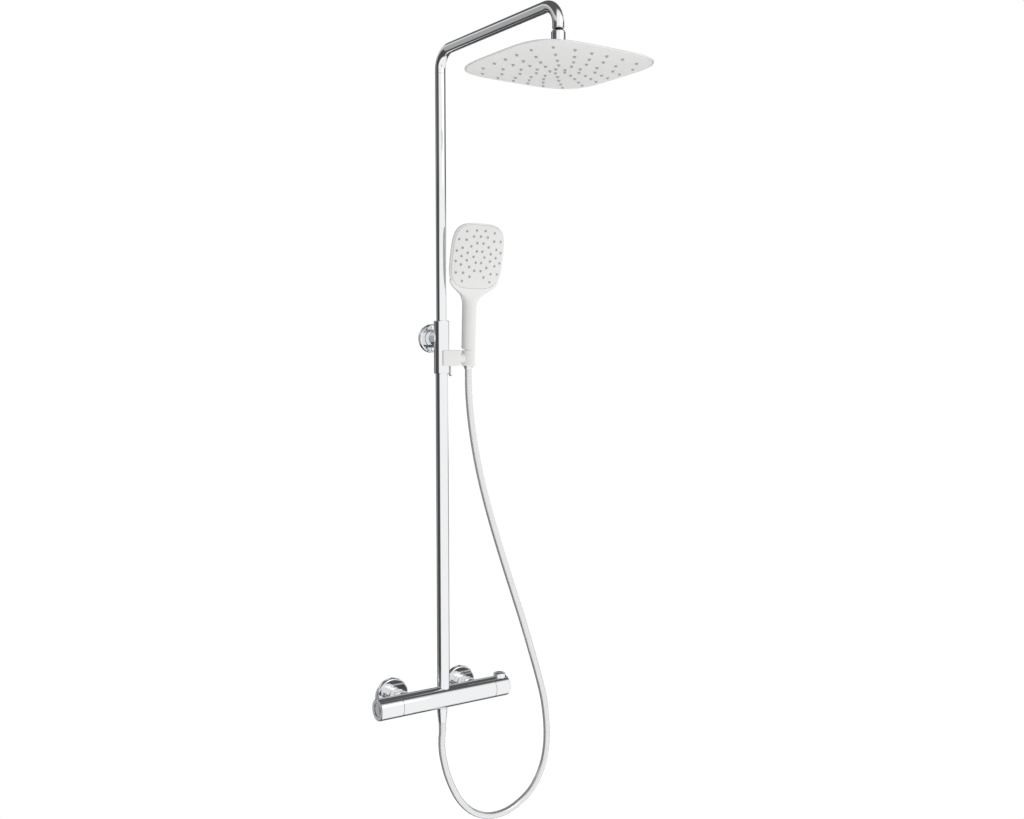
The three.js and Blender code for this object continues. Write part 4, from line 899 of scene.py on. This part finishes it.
overhead_shell()
plate_shape = head_shape(spray_face(PLATE_SIZE, HEAD_POWER, HEAD_CROWN, 2.0))
settle(solid("overhead_spray_plate_fine", plate_shape, centre=UNDER_ARM), "overhead_head", face_white)
hub_profile = [(4.2, 1097), (4.2, 1119.2), (4.6, 1119.3), (8.0, 1122.8), (9.1, 1123), (9.1, 1111.7),
               (12.0, 1109.6), (16, 1106.8), (16, 1103.3), (9.1, 1103.3), (9.1, 1097)]
settle(turned("overhead_hub_fine", hub_profile, 0.5, 3, sides=SIDES, centre=UNDER_ARM), "overhead_head",
       chrome)
print("overhead shell and face done")

# %% [markdown]
# ## Nozzles
# Soft grey nubs stand out of both faces, in soft-square rings. They repeat more than a hundred times, so a
# geometry tree puts the same nub on every point: a low collar, a tapered nub and, at its tip, a black disc
# that is painted shade for the bore.
# The tree is given the places as loose points, and one turn for the way that all of them look.

# %% The nozzle tree
NUB_SIDES = 16
NUB_SINK = 0.15  # a nub's foot lies this far behind the face that it stands out of


def nozzle_tree():
    board, given = new_tree("nozzles_on_points", [
        ("Nub Radius", "NodeSocketFloat"), ("Nub Length", "NodeSocketFloat"), ("Turn", "NodeSocketVector"),
        ("Finish", "NodeSocketMaterial"), ("Bore Shade Finish", "NodeSocketMaterial")])

    def scaled(size, factor):
        return board.wire("ShaderNodeMath", {"operation": "MULTIPLY"}, {0: given["Nub " + size], 1: factor})

    def cone_part(wide, narrow, depth, low, finish):
        part = board.add("GeometryNodeMeshCone", {"fill_type": "NGON"}, {
            "Vertices": NUB_SIDES, "Radius Top": scaled("Radius", narrow),
            "Radius Bottom": scaled("Radius", wide), "Depth": scaled("Length", depth)})
        lift = board.wire("ShaderNodeCombineXYZ", None, {"Z": scaled("Length", low)})
        moved = board.wire("GeometryNodeTransform", None, {"Geometry": part.outputs[0], "Translation": lift})
        return board.add("GeometryNodeSetMaterial", None, {"Geometry": moved, "Material": given[finish]})

    nub = board.add("GeometryNodeJoinGeometry")
    # The last part is a thin black disc on the nub's tip, painted shade where the bore would look dark.
    for wide, narrow, depth, low, finish in (
            (1.32, 1.22, 0.16, -0.04, "Finish"), (1.0, 0.86, 0.72, 0.10, "Finish"),
            (0.86, 0.62, 0.14, 0.80, "Finish"), (0.26, 0.26, 0.05, 0.91, "Bore Shade Finish")):
        board.tree.links.new(cone_part(wide, narrow, depth, low, finish).outputs[0], nub.inputs[0])
    dots = board.wire("GeometryNodeMeshToPoints", None, {"Mesh": given["Geometry"]})
    placed = board.wire("GeometryNodeInstanceOnPoints", None, {
        "Points": dots, "Instance": nub.outputs[0], "Rotation": given["Turn"]})
    board.add("NodeGroupOutput", None,
              {"Geometry": board.wire("GeometryNodeRealizeInstances", None, {"Geometry": placed})})
    return board.tree


def ring_points(rings):
    """Nozzle places in soft-square rings of (half size, slots, turn, squareness, empty slots)."""
    places = []
    for half, slots, turn, power, empty in rings:
        for i in range(slots):
            angle = 2 * math.pi * (i + turn) / slots
            c, s = math.cos(angle), math.sin(angle)
            radius = half / (abs(c) ** power + abs(s) ** power) ** (1 / power)
            if i not in empty:
                places.append((radius * c, radius * s))
    return places


def edge_share(x, y, half, power):
    """How far out a place is: 0 in the middle of a soft square, 1 at its edge."""
    return ((abs(x) ** power + abs(y) ** power) ** (1 / power)) / half


def nozzles(name, places, turn, nub_radius, nub_length, body_name, node):
    seed = bpy.data.meshes.new("places")
    seed.from_pydata([tuple(place) for place in places], [], [])
    piece = grow(name, seed, nub_tree, {
        "Nub Radius": nub_radius * MM, "Nub Length": nub_length * MM, "Turn": turn, "Finish": silicone,
        "Bore Shade Finish": dark})
    mesh = piece.data
    mesh.shade_smooth()
    mesh.set_sharp_from_angle(angle=math.radians(40))
    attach(piece, body_name)
    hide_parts(node)
    print(name, len(places), "nozzles", len(mesh.polygons), "faces")


nub_tree = nozzle_tree()

# %% Overhead nozzles
HEAD_RINGS = [(13, 5, 0.0, 2.0, ()), (34, 10, 0.5, 2.4, ()), (55, 14, 0.0, 3.2, ()), (77, 18, 0.5, 4.2, ()),
              (101, 22, 0.0, 5.0, ())]


def overhead_place(x, y):
    drop = crown_at(edge_share(x, y, PLATE_SIZE / 2, 3.4), HEAD_CROWN)
    return Vector((x, y - ARM_REACH - WALL_TO_AXIS, HEAD_FACE - drop + NUB_SINK)) * MM


overhead_places = [overhead_place(x, y) for x, y in ring_points(HEAD_RINGS)]
nozzles("overhead_nozzles", overhead_places, (math.pi, 0, 0), 2.3, 2.8, "overhead_head",
        "overhead_nozzle_mat")

# %% [markdown]
# ## The hand shower
# One white moulding flows from a round handle into a flat soft square that looks slightly down. It is a
# loft: sections square to the head's own length axis, from the handle's foot to the head's top, each with
# its half width, front, back and squareness. The widths at the neck are what give it its waist.

# %% Hand shower shell
HEAD_TILT = math.radians(12 - 90)
HANDSET_CENTRE = Vector((CUP_OFFSET, -37.5, 817.5))
HALF_WIDE, HALF_TALL, HAND_POWER = 57, 61, 3.6
FRONT_RIM = 3.0  # the head's front rim lies this far behind the middle of its face
BACK_RIM, BACK_SWELL = 4, 13  # the back at the head's top edge, and how much it swells from there
NECK = [(44, 53.6), (50, 51.0), (56, 46.0), (61, 39.5), (66, 31.8), (71, 24.6), (76, 19.6), (81, 16.6),
        (87, 14.8), (94, 14.1), (104, 13.9), (120, 13.6)]
NECK_START, NECK_END = 52, 84  # between these the square head turns into the round handle
HANDLE_RADIUS, HANDLE_TAPER = 13.0, 0.011  # half the handle's depth; narrowing per millimetre down it
HANDLE_LEAN, LEAN_RATE = 28.0, 0.153  # the handle's middle behind the face, and how it comes forward
FOOT_START, FOOT_END, FOOT_INSET = 171.6, 172.8, 1.8
WIDEST, WIDEST_ROUND = 0.38, 0.5  # the share of the depth where a section is widest: head, handle
FACE_WIDE, FACE_TALL, FACE_CROWN = 109.0, 117.0, 3.2
POCKET_DEPTH = 2.4
FRONT_SQUARE, BACK_SQUARE = 5.5, 2.6  # squareness of the head's sections; the handle's is 2, which is round


def in_head_frame(points):
    turn = Matrix.Rotation(HEAD_TILT, 3, "X")
    return [turn @ point + HANDSET_CENTRE for point in points]


def eased_between(low, high, x):
    t = min(1.0, max(0.0, (x - low) / (high - low)))
    return t * t * (3 - 2 * t)


def half_width(v):
    """Half the width at v: a superellipse in the head, a smooth line through NECK, a taper below it."""
    if v >= NECK[-1][0]:
        return NECK[-1][1] - HANDLE_TAPER * (v - NECK[-1][0])
    if v <= NECK[0][0]:
        return HALF_WIDE * (1 - (abs(v) / HALF_TALL) ** HAND_POWER) ** (1 / HAND_POWER)
    i = max(k for k, (low, _) in enumerate(NECK) if low < v)
    (v0, w0), (v1, w1) = NECK[i:i + 2]
    before, after = NECK[max(0, i - 1)], NECK[min(len(NECK) - 1, i + 2)]
    t, gap = (v - v0) / (v1 - v0), v1 - v0
    slope0, slope1 = (w1 - before[1]) / (v1 - before[0]), (after[1] - w0) / (after[0] - v0)
    return (w0 * (2 * t ** 3 - 3 * t ** 2 + 1) + slope0 * gap * (t ** 3 - 2 * t ** 2 + t)
            + w1 * (3 * t ** 2 - 2 * t ** 3) + slope1 * gap * (t ** 3 - t ** 2))


def handset_section(v):
    """One section of the hand shower at v down its head, as points in the head's frame."""
    handle = eased_between(NECK_START, NECK_END, v)
    inset = FOOT_INSET * eased_between(FOOT_START, FOOT_END, v)
    lean = HANDLE_LEAN - LEAN_RATE * v
    top = (1 - (min(v, 0) / HALF_TALL) ** 4) ** 0.25
    front = (1 - handle) * FRONT_RIM + handle * (lean - HANDLE_RADIUS) + inset
    back = (1 - handle) * (BACK_RIM + BACK_SWELL * top) + handle * (lean + HANDLE_RADIUS) - inset
    width = half_width(v) - inset
    widest = front + (back - front) * (WIDEST + (WIDEST_ROUND - WIDEST) * handle)
    points = []
    for k in range(WIDE_SIDES):
        angle = 2 * math.pi * k / WIDE_SIDES
        c, s = math.cos(angle), math.sin(angle)
        square, reach = (FRONT_SQUARE, widest - front) if s < 0 else (BACK_SQUARE, back - widest)
        power = square + (2 - square) * handle
        radius = (abs(c) ** power + abs(s) ** power) ** (-1 / power)
        points.append(Vector((width * radius * c, v, widest + reach * radius * s)))
    return points


def handset_shell():
    stations = [-60.98, -60.9, -60.7, -60.3, -59.6, -58.6, -57.2, -55.2, -52.6, -49.2, -45, -39, -32, -24,
                -15, -5, 5, 15, 24, 32, 38, 43]
    stations += [44 + 1.5 * i for i in range(46)]
    stations += [116, 125, 135, 145, 155, 163, 169, 171, FOOT_START, 172, 172.4, FOOT_END]
    points, faces = ringed([handset_section(v) for v in stations])
    shell = solid("handset_shell_fine", (in_head_frame(points), faces))
    pocket = [(FACE_WIDE + 2 * FIT, FACE_TALL + 2 * FIT, HAND_POWER, z)
              for z in (-3, FRONT_RIM + POCKET_DEPTH)]
    points, faces = stacked(pocket, HAND_FACETS)
    combine(shell, "DIFFERENCE", solid("pocket", (in_head_frame(points), faces)))
    return settle(shell, "hand_shower", white, crease=40)


handset_shell()
print("hand shower shell done")

# %% Hand shower face and nozzles
HAND_RINGS = [(12, 6, 0.0, 2.0, ()), (26, 12, 0.5, 2.2, ()), (37.5, 16, 0.0, 3.2, (4,)),
              (48, 16, 0.5, 3.6, (3, 4))]
face_levels = [(s, s * FACE_TALL / FACE_WIDE, p, z + FACE_CROWN)
               for s, p, z in spray_face(FACE_WIDE, HAND_POWER, FACE_CROWN, 2.0)]
face_points, face_faces = stacked(face_levels, HAND_FACETS)
settle(solid("handset_spray_plate_fine", (in_head_frame(face_points), face_faces)), "hand_shower", face_white)


def hand_place(x, y):
    share = edge_share(x, y * FACE_WIDE / FACE_TALL, FACE_WIDE / 2, 3.2)
    point = Vector((x, y, FACE_CROWN - crown_at(share, FACE_CROWN) + NUB_SINK))
    return (in_head_frame([point])[0] - Vector((0, WALL_TO_AXIS, 0))) * MM


hand_places = [hand_place(x, y) for x, y in ring_points(HAND_RINGS)]
nozzles("handset_nozzles", hand_places, (math.pi + HEAD_TILT, 0, 0), 1.9, 2.0, "hand_shower",
        "handset_nozzle_mat")

# %% [markdown]
# ## Finishes for the pieces that stay
# The inner pieces are the solid model's own: cartridges, washers, springs, pins and seats. They are hardly
# seen, but each gets its real finish, so that nothing is bare when a piece is lifted off.

# %% Paint the remaining nodes
FINISH_OF_SLOT = {
    "chrome": chrome, "white_plastic": white, "face_plastic": face_white, "nozzle_silicone": silicone,
    "brass": brass, "rubber": rubber, "cartridge_plastic": cartridge_grey, "steel": steel,
    "hose_silver": hose_skin}
for part in frame["record"]["subparts"]:
    node = frame["nodes"][part["node"]]
    node.data.materials.clear()
    node.data.materials.append(FINISH_OF_SLOT[part["material_slot"]])

# %% [markdown]
# ## Studio
# A pale floor and a soft white room with one soft light. Chrome shows only what stands round it, so the
# room is not even: it is darker behind on the left, overhead and underneath, which draws the dark edge
# lines along the tubes. What the camera sees directly is plain white.

# %% Floor, room and light
FLOOR_HEIGHT, FLOOR_HALF, FLOOR_GLOW = -0.95, 2.2, 0.6
DARK_BEHIND, DARK_ABOVE, DARK_BELOW = 0.93, 0.90, 0.90  # 0 leaves the room white, 1 makes it black
STRIP_LIFT, ARM_LIFT = 0.6, 0.36  # how much two paler patches take back of that darkness
CHROME_GAIN = 1.08  # how bright chrome sees the white part of the room
floor_corners = [(x * FLOOR_HALF, y * FLOOR_HALF, FLOOR_HEIGHT)
                 for x, y in ((-1, -1), (1, -1), (1, 1), (-1, 1))]
floor_mesh = bpy.data.meshes.new("floor")
floor_mesh.from_pydata(floor_corners, [], [(0, 1, 2, 3)])
floor = bpy.data.objects.new("floor", floor_mesh)
scene.collection.objects.link(floor)
pale = make_finish("pale_floor", (0.93, 0.93, 0.93), 0.85, 0.02, 0.01, bump=0.0, grain=2.0)
floor_shader = pale.node_tree.nodes["Principled BSDF"]
floor_shader.inputs["Emission Color"].default_value = grey(1.0)
floor_shader.inputs["Emission Strength"].default_value = FLOOR_GLOW
floor_mesh.materials.append(pale)
floor.visible_glossy = False


def band(value, low, high):
    """0 below low, 1 above high, smooth between; the other way round where low is above high."""
    return value.board.wire("ShaderNodeMapRange", {"interpolation_type": "SMOOTHSTEP"}, {
        "Value": value, "From Min": min(low, high), "From Max": max(low, high),
        "To Min": float(low > high), "To Max": float(low < high)})


def studio_world():
    """The room. Its patches have soft edges, set by azimuth in radians and by height from -1 to 1."""
    scene.world = bpy.data.worlds.new("soft_room")
    board = blank_board(scene.world)
    aim = board.add("ShaderNodeTexCoord").outputs["Generated"]
    parts = board.add("ShaderNodeSeparateXYZ", None, {0: aim})
    x, y, z = (Wire(board, socket) for socket in parts.outputs)
    azimuth = x.math("ARCTAN2", y)
    behind_left = band(azimuth, 0.62, 0.50) * band(azimuth, -1.95, -1.75) * band(z, 0.34, 0.14)
    overhead_strip = band(z, 0.30, 0.36) * band(z, 0.56, 0.48)
    above = band(z, 0.06, 0.16) * band(y, -0.55, -0.25) * (1 - overhead_strip * STRIP_LIFT)
    below = band(z, -0.03, -0.10) * band(y, 0.05, 0.30)
    beside = band(azimuth, -0.76, -0.69) * band(azimuth, -0.34, -0.42)
    arm_glow = beside * band(z, -0.55, -0.42) * band(z, 0.62, 0.45) * ARM_LIFT
    dim = (behind_left * DARK_BEHIND).math("MAXIMUM", above * DARK_ABOVE).math("MAXIMUM", below * DARK_BELOW)
    path = board.add("ShaderNodeLightPath").outputs
    mirrored = Wire(board, path["Is Glossy Ray"])
    seen_in_chrome = (1 - dim * (1 - arm_glow)) * CHROME_GAIN
    lights_the_rest = x * 0.24 - y * 0.14 - z * 0.30 + 0.76
    strength = seen_in_chrome * mirrored + lights_the_rest * (1 - mirrored)
    room = board.add("ShaderNodeBackground", None, {"Color": grey(1.0), "Strength": strength})
    plain = board.add("ShaderNodeBackground", None, {"Color": grey(1.0), "Strength": 1.0})
    mixed = board.add("ShaderNodeMixShader", None, {
        0: path["Is Camera Ray"], 1: room.outputs[0], 2: plain.outputs[0]})
    board.add("ShaderNodeOutputWorld", None, {"Surface": mixed.outputs[0]})


def soft_light(name, place, target, size, power):
    light = bpy.data.lights.new(name, "AREA")
    light.shape, light.size, light.energy = "DISK", size, power
    lamp = bpy.data.objects.new(name, light)
    scene.collection.objects.link(lamp)
    aim = Vector(target) - Vector(place)
    lamp.matrix_world = Matrix.Translation(place) @ aim.to_track_quat("-Z", "Y").to_matrix().to_4x4()


studio_world()
soft_light("key", (0.9, -2.6, 2.1), (0.0, -0.2, 0.6), 1.6, 7.0)
print("studio ready")
